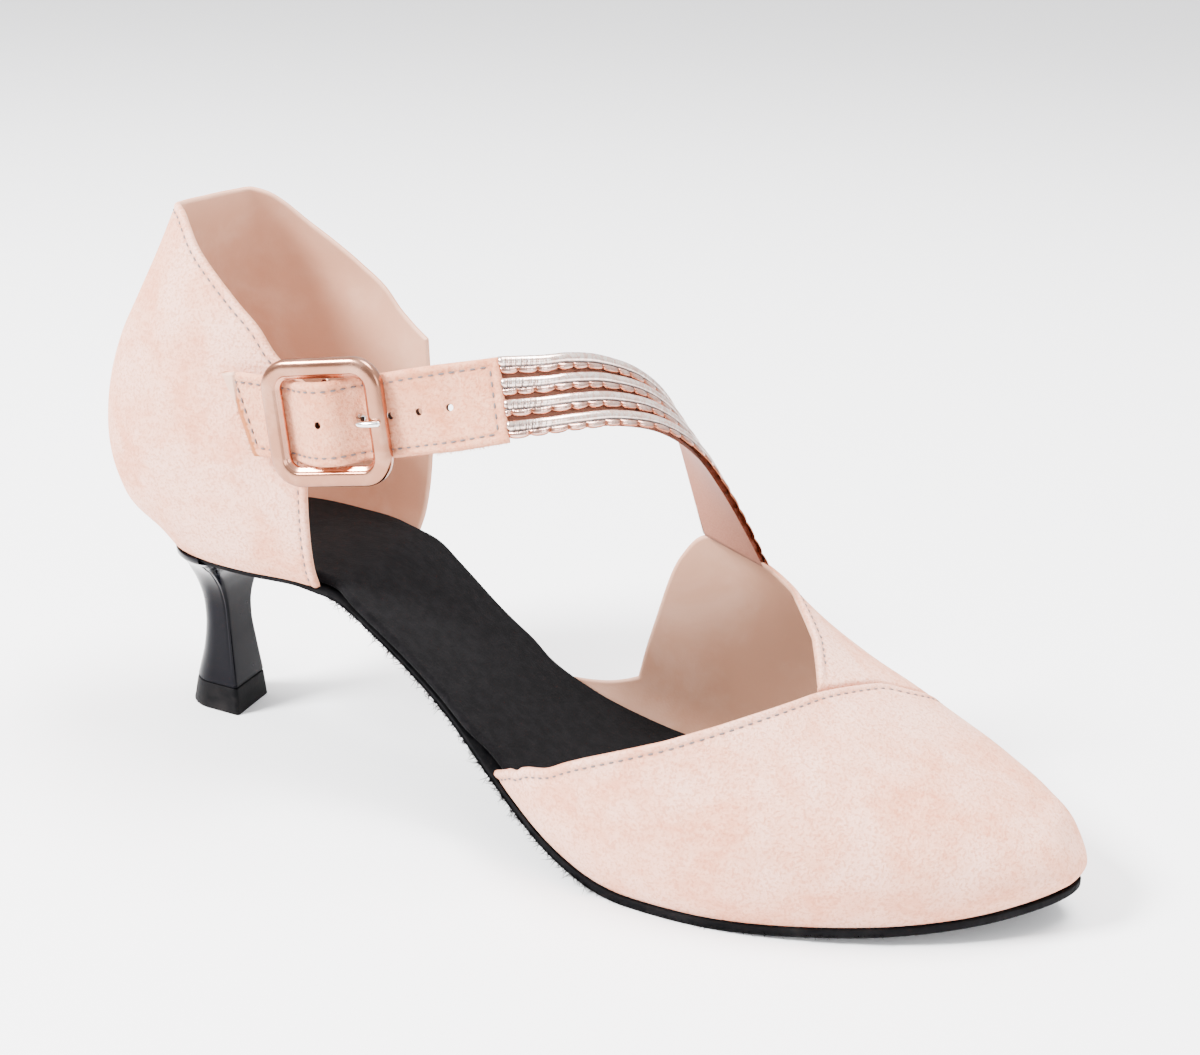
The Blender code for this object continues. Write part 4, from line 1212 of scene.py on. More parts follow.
def strap_place(along, column, level):
    """Point of the strap: along it, at a share of its width and a level through it."""
    middle, up, outward = strap_frames(along)
    return middle + up * STRAP_WIDTH * column[..., None] + outward * level[..., None]


def punched_holes():
    """Places along the strap and diameters of its five holes."""
    rows = [(WINDOW_HOLE_ALONG, HOLE_DIAMETER), (PRONG_HOLE_ALONG, PRONG_HOLE_DIAMETER)]
    return rows + [(FIRST_HOLE_ALONG + HOLE_PITCH * number, HOLE_DIAMETER)
                   for number in range(HOLES_AHEAD)]


def drilled(item, name, points, quads, number):
    """Cuts a closed shape out of a piece for good; the cut faces take finish number."""
    mesh = bpy.data.meshes.new(name)
    mesh.from_pydata([tuple(p) for p in (points - PLACE) * MM], [], quads)
    work = bmesh.new()
    work.from_mesh(mesh)
    bmesh.ops.recalc_face_normals(work, faces=work.faces)
    work.to_mesh(mesh)
    work.free()
    for finish_slot in item.data.materials:
        mesh.materials.append(finish_slot)
    mesh.polygons.foreach_set("material_index", np.full(len(mesh.polygons), number, np.int32))
    cutter = linked(name, mesh)
    taken = item.modifiers.new(name, "BOOLEAN")
    taken.operation = "DIFFERENCE"
    taken.solver = "EXACT"
    taken.object = cutter
    bpy.context.view_layer.update()
    ready = item.evaluated_get(bpy.context.evaluated_depsgraph_get())
    cut_mesh = bpy.data.meshes.new_from_object(ready)
    item.modifiers.clear()
    item.data = cut_mesh
    bpy.data.objects.remove(cutter, do_unlink=True)


def make_strap():
    """Suede strap: folded and stitched all round, its free end cut raw and slanting, with
    the punched holes pressed in a little and drilled through."""
    column = (from_both_edges(STRAP_WIDTH, STRAP_FINE, 22, 14) / STRAP_WIDTH - 0.5)[None, :]
    end = STRAP_WAY["along"][0] - FREE_END_SLANT * column
    whole = STRAP_WAY["along"][-1] - end
    near = crowded(STRAP_FINE, 20)[:, None]
    body = np.linspace(0, 1, 190)[1:-1, None]
    along = np.concatenate([end + near, end + STRAP_FINE + (whole - 2 * STRAP_FINE) * body,
                            end + whole - near[::-1]])
    column = column + 0 * along
    slant = 1 / np.sqrt(1 + (FREE_END_SLANT / STRAP_WIDTH) ** 2)
    from_free = (along - end) * slant
    from_last = STRAP_WAY["along"][-1] - along
    from_side = (0.5 - np.abs(column)) * STRAP_WIDTH
    free = np.minimum(np.minimum(from_side, from_free), from_last)
    half = 0.5 * STRAP_THICKNESS
    rounded = round_off(np.minimum(from_side, from_last) / half)
    blunt = CUT_BLUNT + (1 - CUT_BLUNT) * round_off(from_free / (CUT_ROUND * half))
    at_free = ease(from_free, 0.5, 3.0)
    rounded = rounded * at_free + (1 - at_free) * np.maximum(rounded, CUT_SIDE)
    thick = half * np.minimum(rounded, blunt)
    relief = sewn_edge(free)
    for place, diameter in punched_holes():
        away = np.hypot(along - place, column * STRAP_WIDTH)
        relief = relief - PUNCH_DIP * hump(away, 0.5 * diameter, PUNCH_DIP_WIDTH)
    relief = relief * ease(free, 0, 0.6)
    wave = STRAP_WAVE * wander(along, 4, 4, 22.0) * ease(free, 0, 1.5)
    outer = strap_place(along, column, thick + relief + wave)
    inner = strap_place(along, column, -thick)
    frayed = 1.15 + 0.28 * wander(column * STRAP_WIDTH, 8, 4, 2.4)
    raw = 1 - ease(from_free, frayed, frayed + 0.35)
    # trough: painted shade along the stitch line
    marks = {"trough": hump(free, STITCH_IN, 0.45), "raw": raw}
    strap = skin("strap_skin", outer, inner, (STRAP_SUEDE, LINING, PUNCHED_HOLE_SHADE), "suede",
                 ("strap_band",), marks=marks)
    ring = np.linspace(0, 2 * np.pi, 24, endpoint=False)
    for number, (place, diameter) in enumerate(punched_holes()):
        middle, up, outward = (part[0] for part in strap_frames(np.array([place])))
        ahead = np.cross(up, outward)
        circle = (ahead * np.cos(ring)[:, None] + up * np.sin(ring)[:, None]) * diameter / 2
        reach = outward * 2 * STRAP_THICKNESS
        points = np.concatenate([middle - reach + circle, middle + reach + circle])
        count = len(ring)
        quads = ring_quads(2, count).tolist() + [list(range(count))[::-1],
                                                 list(range(count, 2 * count))]
        drilled(strap, "strap_punch_" + str(number), points, quads, 2)
    corner = 0.5 - STITCH_IN / STRAP_WIDTH
    low_along = STRAP_WAY["along"][0] - FREE_END_SLANT * -corner + STITCH_IN / slant
    high_along = STRAP_WAY["along"][0] - FREE_END_SLANT * corner + STITCH_IN / slant
    last_along = STRAP_WAY["along"][-1] - STITCH_IN
    runs = ((low_along, last_along, -corner, -corner), (high_along, last_along, corner, corner),
            (low_along, high_along, -corner, corner), (last_along, last_along, -corner, corner))
    sewn = []
    for first, last, low, high in runs:
        places = np.linspace(first, last, 240)
        columns = np.linspace(low, high, 240)
        level = half - 0.5 * GROOVE_DEPTH + 0 * places
        line = strap_place(places, columns, level)
        sewn.append(stitches(line, strap_frames(places)[2], spare=0.3))
    return joined(sewn)


def make_tab():
    """Suede tab from the quarter's front edge round the centre bar, slotted for the prong."""
    turns = np.array([-1.0, -0.998, -0.996])
    wall = counter_surface(turns, np.linspace(0, 1, 60))
    edge = wall[0] - 0.5 * UPPER_WALL * grid_normals(wall)[0]
    anchor = np.array([np.interp(BUCKLE_PLACE[2], wall[0, :, 2], edge[:, i]) for i in range(3)])
    anchor = AXES @ (anchor - BUCKLE_PLACE)
    radius = CENTRE_BAR_DIAMETER / 2 + GAP + TAB_THICKNESS / 2
    turn = np.radians(np.linspace(*TAB_WRAP, 40))
    wrap = np.stack([radius * np.cos(turn), BAR_OUT + radius * np.sin(turn)], axis=-1)
    start = np.array([anchor[0] + TAB_THICKNESS + GAP, anchor[2]])
    run = start + (wrap[0] - start) * np.linspace(0, TAB_RUN, 16)[:, None]
    back = wrap[-1] + (run[8] - wrap[-1]) * np.linspace(*TAB_RETURN, 6)[:, None]
    way = np.concatenate([run, wrap, back])
    ahead = unit(np.gradient(way, axis=0))
    aside = np.stack([-ahead[:, 1], ahead[:, 0]], axis=-1)
    column = from_both_edges(TAB_WIDTH, TAB_FINE, 12, 9)
    free = np.minimum(column, TAB_WIDTH - column)
    half = 0.5 * TAB_THICKNESS
    thick = half * round_off(free / half)
    sheets = []
    for sign in (1, -1):
        place = way[:, None, :] + sign * aside[:, None, :] * thick[None, :, None]
        local = np.stack([place[..., 0], np.broadcast_to(column - TAB_WIDTH / 2,
                                                         place.shape[:2]), place[..., 1]], -1)
        sheets.append(from_buckle(local))
    tab = skin("tab_skin", *sheets, (STRAP_SUEDE, LINING), "suede", ("buckle_tab",),
               marks=plain_marks(sheets[0].shape[:2], TAB_RAW))
    near, far = (share * radius for share in TAB_SLOT_REACH)
    corners = [(x, y, z) for x in (near, far) for y in (-TAB_SLOT / 2, TAB_SLOT / 2)
               for z in (BAR_OUT - far, BAR_OUT + far)]
    faces = [(0, 1, 3, 2), (4, 6, 7, 5), (0, 4, 5, 1), (2, 3, 7, 6), (0, 2, 6, 4), (1, 5, 7, 3)]
    drilled(tab, "tab_slot", from_buckle(corners), faces, 0)


def rounded_loop(length, width, corner):
    """Closed path round a rectangle with round corners and its outward directions."""
    turn = np.linspace(0, np.pi / 2, 16)
    points = []
    out = []
    for quarter_turn, (sx, sy) in enumerate(((1, 1), (-1, 1), (-1, -1), (1, -1))):
        angle = turn + quarter_turn * np.pi / 2
        out.append(np.stack([np.cos(angle), np.sin(angle)], axis=-1))
        centre = np.array([sx * (length / 2 - corner), sy * (width / 2 - corner)])
        points.append(centre + corner * out[-1])
    return np.concatenate(points), np.concatenate(out)


def make_frame():
    """Buckle frame: a broad softly rounded satin face and a lower inner rim in a paler copy of
    the rose gold, a painted highlight.
    The section is a superellipse of power 2 / FRAME_POWER whose inner margin is stepped down."""
    loop, out = rounded_loop(BUCKLE_LENGTH - BUCKLE_BAR_WIDTH, BUCKLE_WIDTH - BUCKLE_BAR_WIDTH,
                             BUCKLE_CORNER - BUCKLE_BAR_WIDTH / 2)
    path = from_buckle(np.column_stack([loop, np.full(len(loop), FRAME_OUT)]))
    wide = np.column_stack([out, 0 * out[:, 0]]) @ AXES
    turn = np.linspace(0, 2 * np.pi, 56, endpoint=False)
    half_wide, half_thick = BUCKLE_BAR_WIDTH / 2, BUCKLE_BAR_THICKNESS / 2
    across = half_wide * np.sign(np.cos(turn)) * np.abs(np.cos(turn)) ** FRAME_POWER
    high = half_thick * np.sign(np.sin(turn)) * np.abs(np.sin(turn)) ** FRAME_POWER
    rim = ease(-across, half_wide - 1.05, half_wide - 0.90) * (high > 0)
    high = high - FRAME_STEP * rim * np.clip(high, 0, 1)
    section = np.stack([across, high], axis=-1)
    rings = swept(path, wide, np.broadcast_to(AXES[2], wide.shape), section)
    # inner rim faces take the paler rose gold, a painted highlight
    kind = np.tile(((across < -half_wide + 1.0) & (high > -0.4)).astype(int), len(path))
    new_piece("buckle_frame_skin", rings, ring_quads(len(path), len(turn), True),
              (SATIN_ROSE, ROSE_RIM_HIGHLIGHT), ("buckle_frame",), kind)


def rod(name, path, radius, wide, finish_used, nodes):
    """Round rod along a path: its radius falls to nothing at both ends, so it is closed."""
    ahead = unit(np.gradient(path, axis=0))
    first = unit(np.cross(wide, ahead))
    turn = np.linspace(0, 2 * np.pi, 24, endpoint=False)
    section = np.stack([np.cos(turn), np.sin(turn)], axis=-1)[None] * radius[:, None, None]
    rings = swept(path, first, np.cross(ahead, first), section)
    return new_piece(name, rings, ring_quads(len(path), len(turn)), (finish_used,),
                     nodes)


def dome_ends(path, radius):
    """Path and radii with both ends drawn into half balls: r sqrt(1 - t^2)."""
    length = line_length(path)
    total = length[-1]
    cap = radius * (1 - np.cos(np.linspace(0, np.pi / 2, 9)))
    places = np.concatenate([cap, length[(length > radius) & (length < total - radius)],
                             total - cap[::-1]])
    return resampled(path, places), radius * round_off(np.minimum(places, total - places)
                                                       / radius)


def make_bar_and_prong():
    """Centre bar and the prong curled round it, through the strap and over the far bar."""
    reach = BUCKLE_WIDTH / 2 - BUCKLE_BAR_WIDTH - GAP
    line = np.linspace(-reach, reach, 30)
    path, radii = dome_ends(from_buckle(np.stack([0 * line, line, 0 * line + BAR_OUT], -1)),
                            CENTRE_BAR_DIAMETER / 2)
    rod("buckle_bar_skin", path, radii, AXES[2], SATIN_ROSE, ("buckle_bar",))
    half = PRONG_DIAMETER / 2
    eye = CENTRE_BAR_DIAMETER / 2 + GAP + half
    turn = np.radians(np.linspace(*PRONG_EYE, 40))
    ring = np.stack([eye * np.cos(turn), BAR_OUT + eye * np.sin(turn)], axis=-1)
    rows = np.stack([PRONG_WAY["along"], PRONG_WAY["out"]], axis=-1)
    rows = np.vstack([ring[-1], rows])
    length = line_length(rows)
    fine = np.linspace(0, length[-1], 90)[1:]
    way = np.stack([smooth(fine, length, rows[:, 0]), smooth(fine, length, rows[:, 1])], -1)
    route = np.vstack([ring, way])
    path, radii = dome_ends(from_buckle(np.stack([route[:, 0], 0 * route[:, 0], route[:, 1]],
                                                 -1)), half)
    rod("buckle_prong_skin", path, radii, AXES[1], SILVER, ("buckle_prong",))


def wing_edge(across):
    """Point on the inner wing's own edge, in the middle of its wall."""
    along = smooth(across, WING_EDGE["across"], WING_EDGE["along"])
    step = np.array([-GAP, 0, GAP])
    nearby = last_surface(across + step[:, None] / BALL_WIDTH + 0 * step[None, :],
                          along + step[None, :] / SOLE_LENGTH + 0 * step[:, None])
    return nearby[1, 1] - 0.5 * UPPER_WALL * grid_normals(nearby)[1, 1]


def tape_route():
    """Upper and lower edge of the four tapes, from the strap's end to the wing's edge."""
    middle, up, outward = (part[0] for part in strap_frames(STRAP_WAY["along"][-1:]))
    start = middle + GAP * np.cross(up, outward)
    size = np.array([SHOE_LENGTH, BALL_WIDTH, INSTEP_HEIGHT])
    edges = []
    for side, half in (("_top", 0.5), ("_low", -0.5)):
        rows = np.stack([TAPE_ROUTE[axis + side] for axis in "xyz"], axis=-1) * size
        landing = wing_edge(TAPE_LANDING[side])
        landing = landing + TAPE_CLEARANCE * unit(rows[-1] - landing)
        edges.append(np.vstack([start + half * STRAP_WIDTH * up, rows, landing]))
    return edges


SCALLOP_PITCH = 4.1
CORD_UP = 1.16
CORD_OUT = 1.06
SCALLOP_TIP = 2.75
SCALLOP_DEEP = 0.85
SCALLOP_SHIFT = 0.30
GATHER_ENDS = (4.0, 14.0)
PLEAT_SWELL = 0.055
SLOW_SWELL = 0.018
CREASE_DEPTH = 0.10
FLANGE_THICK = 0.5
RIBBON_OUT = (-1.34, -1.16)
RIBBON_INSET = (1.2, 1.5)

# Loose fibres: lean sideways, count, longest, thickness, seed; on the sole's edge first the
# part of its line and the height above it, on the strap's edges first the side
SOLE_FUZZ = (
    (slice(0, 170), 0.0, 0.25, 560, 1.7, 0.26, 3),
    (slice(170, None), 0.0, 0.25, 150, 0.9, 0.22, 13),
    (slice(0, 130), 0.3, -0.1, 320, 1.2, 0.22, 5),
)
STRAP_FUZZ = ((-1, 0.1, 420, 0.75, 0.10, 7), (1, 0.1, 220, 0.45, 0.06, 9))
RAW_EDGE_FUZZ = (0.2, 260, 0.9, 0.13, 11)
LOWEST_FIBRE = 0.05
STRAP_FUZZ_RAW = 0.12
RAW_EDGE_RAW = 0.9


def tape_lines(count):
    """Middle, up and outward directions of the four tapes together, evenly along them."""
    route = tape_route()
    share = np.linspace(0, 1, len(route[0]))
    at = np.linspace(0, 1, count)
    top, low = (np.stack([smooth(at, share, rows[:, i]) for i in range(3)], axis=-1)
                for rows in route)
    middle = (top + low) / 2
    up = unit(top - low)
    ahead = unit(np.gradient(middle, axis=0))
    middle[0] -= ahead[0] * 2 * GAP
    return middle, up, unit(np.cross(ahead, up))


def tape_section(length, number):
    """Section of one tape at lengths along it, as (up, out) places, with its two marks: a copper
    tint that carries painted shade in the notches, and painted shade in the creases.

    The cord is an oval, wrinkled across where it is gathered near the strap. Below a sharp
    crease the flange bulges by half a sine and ends in half ovals: scallops.
    """
    turn = np.linspace(-0.60 * np.pi, 0.87 * np.pi, 30)
    down = np.linspace(0, 1, 12)[1:]
    gather = 1 - ease(length, *GATHER_ENDS)
    pleats = wander(length, 20 + number, 3, 1.15) + 0.6 * wander(length, 60 + number, 2, 0.62)
    wave = wander(length, 40 + number, 4, 11.0)
    low_side = ease(turn, 0.30 * np.pi, 0.80 * np.pi)
    pull = gather[:, None] * (0.08 + 0.92 * low_side) * pleats[:, None]
    swell = 1 + PLEAT_SWELL * pull + SLOW_SWELL * wave[:, None]
    cord_up = CORD_UP * swell * np.cos(turn)
    cord_out = CORD_OUT * swell * np.sin(turn)
    uneven = 0.10 * wander(length, 70 + number, 3, 14.0)
    phase = (length / SCALLOP_PITCH + SCALLOP_SHIFT * number + uneven) % 1
    scallop = np.sqrt(np.clip(1 - (2 * phase - 1) ** 2, 0, 1))
    tip = SCALLOP_TIP - SCALLOP_DEEP * (1 - scallop ** 0.9)
    begin = cord_up[:, -1:]
    front_up = begin - (tip[:, None] + begin) * down
    crease_depth = CREASE_DEPTH * (1 + 0.5 * pleats[:, None] * gather[:, None])
    bulge = (0.14 + 0.34 * np.sin(np.pi * phase) ** 0.7)[:, None] * np.sin(np.pi * down) ** 0.8
    front_out = (cord_out[:, -1:] - crease_depth - 0.12 * down + bulge)
    back_up = front_up[:, ::-1] + 0.02
    back_out = front_out[:, ::-1] - FLANGE_THICK * (0.35 + 0.65 * np.sin(np.pi * down[::-1]))
    rise = np.concatenate([cord_up, front_up, back_up], axis=1)
    out = np.concatenate([cord_out, front_out, back_out], axis=1)
    first, last = len(turn), len(turn) + len(down)
    # copper tint on the flange and its back, darker in the notches between scallops as painted
    # shade
    copper_tint_and_notch_shade = np.zeros_like(rise)
    notch = (1 - scallop[:, None]) ** 1.2
    copper_tint_and_notch_shade[:, first:last] = np.clip(
        0.52 * ease(down, 0.0, 0.2) + notch * ease(down, 0.0, 0.6) + ease(down, 0.84, 1.0), 0, 1)
    copper_tint_and_notch_shade[:, last:] = 1
    # painted shade: dark pleats where the cord is gathered, and a dark line in the crease under
    # the cord
    crease = np.zeros_like(rise)
    pleat_shade = ease(-pleats, -0.05, 0.55)[:, None] * gather[:, None]
    crease[:, :first] = pleat_shade * (0.15 + 0.85 * low_side)
    crease[:, first - 2:first + 2] = 0.9
    crease[:, first + 2:last] = 0.35 * pleat_shade * (1 - ease(down[2:], 0.1, 0.7))
    return rise, out, copper_tint_and_notch_shade, crease


def capped(rings):
    """Rings with one more at each end, drawn into a point, which closes the shape."""
    centre = rings.mean(axis=1, keepdims=True)
    return np.concatenate([centre[:1] + 0 * rings[:1], rings, centre[-1:] + 0 * rings[-1:]])


def make_tapes():
    """Four metallic tapes and the copper ribbon behind them that closes their gaps, its dark
    brown partly painted shade.
    """
    middle, up, outward = tape_lines(720)
    pitch = STRAP_WIDTH / TAPE_COUNT
    radius = TAPE_CORD_DIAMETER / 2
    for number in range(TAPE_COUNT):
        place = middle + up * (STRAP_WIDTH / 2 - radius - pitch * number)
        rise, out, copper_tint_and_notch_shade, crease = tape_section(line_length(place), number)
        rings = capped(swept(place, up, outward, np.stack([rise, out], axis=-1)))
        pad = ((1, 1), (0, 0))
        new_piece("tape_skin_" + str(number + 1), rings,
                  ring_quads(len(rings), rings.shape[1]), (FOIL,),
                  ("tape_" + str(number + 1),),
                  marks={"copper_tint_and_notch_shade": np.pad(copper_tint_and_notch_shade, pad), "crease": np.pad(crease, pad)})
    middle, up, outward = tape_lines(160)
    high, low = STRAP_WIDTH / 2 - RIBBON_INSET[0], -STRAP_WIDTH / 2 + RIBBON_INSET[1]
    turn = np.linspace(0, 2 * np.pi, 48, endpoint=False)
    wide = np.sign(np.cos(turn)) * np.abs(np.cos(turn)) ** 0.3
    section_up = (high + low) / 2 + (high - low) / 2 * wide
    section_out = np.mean(RIBBON_OUT) + (RIBBON_OUT[1] - RIBBON_OUT[0]) / 2 * np.sin(turn)
    section = np.stack([section_up, section_out], axis=-1)
    rings = capped(swept(middle, up, outward, section))
    # copper backing whose dark brown also serves as painted shade between the tapes
    new_piece("tape_ribbon", rings, ring_quads(len(rings), len(turn)), (RIBBON,))


def fuzz(line, outward, sideways, count, longest, thickness, seed):
    """Loose fibres along a line: thin three-sided hairs that leave it outwards and curl.
    Each follows place + size ((outward + lean) s + curl s^2), its radius falling to the tip."""
    dice = np.random.default_rng(seed)
    total = line_length(line)[-1]
    places = np.sort(dice.uniform(0, total, count))
    root = resampled(line, places)
    out = unit(resampled(np.column_stack([line, outward]), places)[:, 3:])
    ahead = unit(resampled(line, places + 0.3) - resampled(line, places - 0.3))
    aside = np.cross(ahead, out)
    size = longest * dice.uniform(0.25, 1.0, count) ** 1.6
    lean = ahead * dice.normal(0, 0.55, count)[:, None] + aside * dice.normal(
        sideways, 0.35, count)[:, None]
    curl = ahead * dice.normal(0, 0.7, count)[:, None] + aside * dice.normal(
        0, 0.5, count)[:, None]
    share = np.linspace(-0.15, 1, 5)
    path = root[:, None, :] + size[:, None, None] * (
        (out + lean)[:, None, :] * share[None, :, None]
        + curl[:, None, :] * (share ** 2)[None, :, None])
    turn = np.linspace(0, 2 * np.pi, 3, endpoint=False)
    radius = 0.5 * thickness * (1 - 0.85 * np.clip(share, 0, 1))
    radius[0] = radius[-1] = 0
    ring = radius[:, None] * np.stack([np.cos(turn), np.sin(turn)])[:, None, :]
    points = (path[:, :, None, :] + ahead[:, None, None, :] * ring[0][None, :, :, None]
              + aside[:, None, None, :] * ring[1][None, :, :, None])
    one = ring_quads(len(share), len(turn))
    quads = one[None] + len(share) * len(turn) * np.arange(count)[:, None, None]
    return points.reshape(-1, 3), quads.reshape(-1, 4)


def make_fuzz():
    """Black fibres along the sole's lateral edge, pale ones on the strap's long edges and
    raw tan ones on its cut end."""
    share = np.linspace(0.245, 0.86, 300)
    lateral = sole_sides(share)[0]
    height = sole_underside(share) + 0.35 * outsole_thickness(share)
    line = np.stack([forward(share), lateral, height], axis=-1)
    ahead = unit(np.gradient(line, axis=0))
    out = unit(np.cross(ahead, [0, 0, 1.0]))
    points, quads = joined([fuzz(line[part] + np.array([0, 0, lift]), out[part], *sizes)
                            for part, lift, *sizes in SOLE_FUZZ])
    points[:, 2] = np.maximum(points[:, 2], LOWEST_FIBRE)
    new_piece("sole_fuzz", points, quads, (SOLE,))
    along = np.linspace(STRAP_WAY["along"][0] + 4, STRAP_WAY["along"][-1] - 0.5, 300)
    level = 0.3 + 0 * along
    up = strap_frames(along)[1]
    points, quads = joined([fuzz(strap_place(along, 0.5 * side + 0 * along, level), side * up,
                                 *sizes) for side, *sizes in STRAP_FUZZ])
    new_piece("strap_fuzz", points, quads, (STRAP_SUEDE,),
              marks=plain_marks(len(points), STRAP_FUZZ_RAW))
    column = np.linspace(-0.48, 0.48, 80)
    end = STRAP_WAY["along"][0] - FREE_END_SLANT * column
    line = strap_place(end, column, 0.35 + 0 * column)
    frames = strap_frames(end)
    back = unit(np.cross(frames[1], frames[2]))
    points, quads = fuzz(line, -back, *RAW_EDGE_FUZZ)
    new_piece("raw_edge_fuzz", points, quads, (STRAP_SUEDE,),
              marks=plain_marks(len(points), RAW_EDGE_RAW))


# Sole and heel

SOLE_FINE = 0.06
MOST_DRAWN = 0.45
CROWN_REACH = 12.0
HEEL_LIP = 1.25
HEEL_LIP_WALL = 0.5
HEEL_LIP_RUN = 0.03
HEEL_ARRIS = 0.25
TOP_PIECE_ARRIS = 0.3
HEEL_GROOVE = 0.24
GROOVE_POINTS = 0.9
GROOVE_START = (0.2, 0.3)
GROOVE_STOP = (0.92, 0.94)
BREAST_LINE = (0.93, 0.010)
HEEL_SIDES = 72
HEEL_SIDE_POINTS = 12


def sole_edge(stations, lateral_inset, medial_inset):
    """Both edges of the sole at shares of its length, moved in along their own normals."""
    lateral, medial = sole_sides(stations)
    x = forward(stations)
    loop = np.stack([np.concatenate([x, x[-2:0:-1]]),
                     np.concatenate([lateral, medial[-2:0:-1]])], axis=-1)
    ahead = unit(np.roll(loop, -1, axis=0) - np.roll(loop, 1, axis=0))
    inward = np.stack([-ahead[:, 1], ahead[:, 0]], axis=-1)
    depth = np.concatenate([lateral_inset, medial_inset[-2:0:-1]])[:, None]
    moved = loop + inward * depth
    count = len(stations)
    other = np.concatenate([moved[:1], moved[:count - 2:-1]])
    return moved[:count], other


def sole_layer(name, inset, levels, finishes, slot, node, corner, crown=0.0):
    """Layer of the sole with rounded arrises: near its outline, both faces draw in by the
    quarter circle of the corner radius; the top may be crowned by a low bell."""
    stations = 0.5 - 0.5 * np.cos(np.linspace(0, np.pi, 321))
    lateral, medial = sole_edge(stations, inset(stations, PANEL_EDGE["along"][0]),
                                inset(stations, WING_EDGE["along"][-1]))
    across = from_both_edges(1, SOLE_FINE, 14, 14)[None, :, None]
    plan = lateral[:, None, :] + (medial - lateral)[:, None, :] * across
    low, high = (part[..., 0] for part in levels(share_of_sole(plan[..., :1])))
    rim = np.vstack([lateral, medial[-2:0:-1], lateral[:1]])
    flat = np.concatenate([plan, 0 * plan[..., :1]], axis=-1)
    free = distance_to(flat, np.column_stack([rim, 0 * rim[:, 0]]))
    draw = np.minimum(corner * (1 - round_off(free / corner)), MOST_DRAWN * (high - low))
    raised = crown * ease(free, 0, CROWN_REACH)
    upper = np.concatenate([plan, (high - draw + raised)[..., None]], axis=-1)
    lower = np.concatenate([plan, (low + draw)[..., None]], axis=-1)
    skin(name, upper, lower, finishes, slot, (node,))


def outsole_inset(share, _):
    """Outer sole's edge: the outline itself, drawn in a little under the heel seat, and more
    behind the heel's breast, where the heel's lip stands outside it."""
    breast = share_of_sole(SEAT_SETBACK + BALL_WIDTH * HEEL["breast"][-1])
    hidden = HEEL_LIP_WALL + GAP
    return (SEAT_EDGE_INSET * np.clip((COUNTER_FRONT - share) / WAIST_BACK, 0, 1)
            + hidden * (1 - ease(share, breast - HEEL_LIP_RUN, breast)))


def outsole_levels(share):
    """Lower and upper face of the outer sole."""
    return sole_underside(share), sole_underside(share) + outsole_thickness(share)


def insole_levels(share):
    """Lower and upper face of the insole."""
    return feather_height(share), feather_height(share) + INSOLE_THICKNESS


def insole_inset(share, front):
    """Insole's edge: inside the upper's wall, and out to the sole's edge in the open waist."""
    closed = FEATHER_INSET + UPPER_WALL + 3 * GAP
    open_back = 1 / (1 + np.exp((COUNTER_FRONT + WAIST_BACK - share) / WAIST_TURN))
    open_front = 1 / (1 + np.exp((share - front + WAIST_FRONT) / WAIST_TURN))
    return closed - (closed - GAP) * open_back * open_front


def heel_ring(height):
    """Ring of the heel at a share of the seat height: round behind, flat in front, with
    filleted breast corners."""
    back, breast, half = (BALL_WIDTH * smooth(height, HEEL["height"], HEEL[name])
                          for name in ("back", "breast", "half_width"))
    corner = HEEL_CORNER * half
    depth = breast - back - corner
    round_length = np.minimum(half, depth)
    turn = np.linspace(-np.pi / 2, np.pi / 2, HEEL_SIDES)
    x = back + round_length * (1 - np.cos(turn))
    y = half * np.sin(turn)
    fillet = np.linspace(0, np.pi / 2, 10)
    fillet_x = breast - corner + corner * np.sin(fillet)
    fillet_y = half - corner + corner * np.cos(fillet)
    side_share = np.linspace(0, 1, HEEL_SIDE_POINTS + 2)[1:-1]
    side_x = back + round_length + (breast - corner - back - round_length) * side_share
    front = np.linspace(1, -1, 16)[1:-1] * (half - corner)
    x = np.concatenate([x, side_x, fillet_x, np.full(len(front), breast), fillet_x[::-1],
                        side_x[::-1]])
    y = np.concatenate([y, np.full(len(side_x), half), fillet_y, front, -fillet_y[::-1],
                        np.full(len(side_x), -half)])
    x = SEAT_SETBACK + x - HEEL_TURN * y * (1 - height)
    y = HEEL_CENTRE_Y * (1 - height) + y
    z = height * (sole_underside(share_of_sole(x)) - GAP)
    return np.stack([x, y, z], axis=-1)


def closed_end(ring, corner, inward):
    """Rings from the middle of a flat end out to its rim, whose arris is a quarter circle;
    inward is 1 where the solid lies above the end and -1 where it lies below."""
    centre = ring.mean(axis=0)
    turn = np.linspace(0, np.pi / 2, 6)[:, None, None]
    margin = (ring + unit(centre - ring) * corner * (1 - np.sin(turn))
              + np.array([0, 0, inward * corner]) * (1 - np.cos(turn)))
    flat = centre + (margin[0] - centre) * np.linspace(0, 1, 7)[:-1, None, None]
    return np.concatenate([flat, margin])


def heel_top(ring, mask):
    """Top of the heel: outside the sole's edge it rises as a thin lip, elsewhere it turns
    over in a small quarter circle; both then run flat to the middle."""
    centre = ring.mean(axis=0)
    toward = unit((centre - ring) * np.array([1, 1, 0]))
    lift = HEEL_LIP * mask[:, None] * np.array([0, 0, 1.0])
    turn = np.linspace(0, np.pi, 7)[:, None, None]
    half = HEEL_LIP_WALL / 2
    bend = (ring + lift + toward * half * (1 - np.cos(turn))
            + np.array([0, 0, half]) * (np.sin(turn) - 1) * mask[:, None])
    inside = bend[-1] - lift * 0.98
    flat = centre + (inside - centre) * np.linspace(1, 0, 7)[:, None, None]
    return np.concatenate([bend, flat])


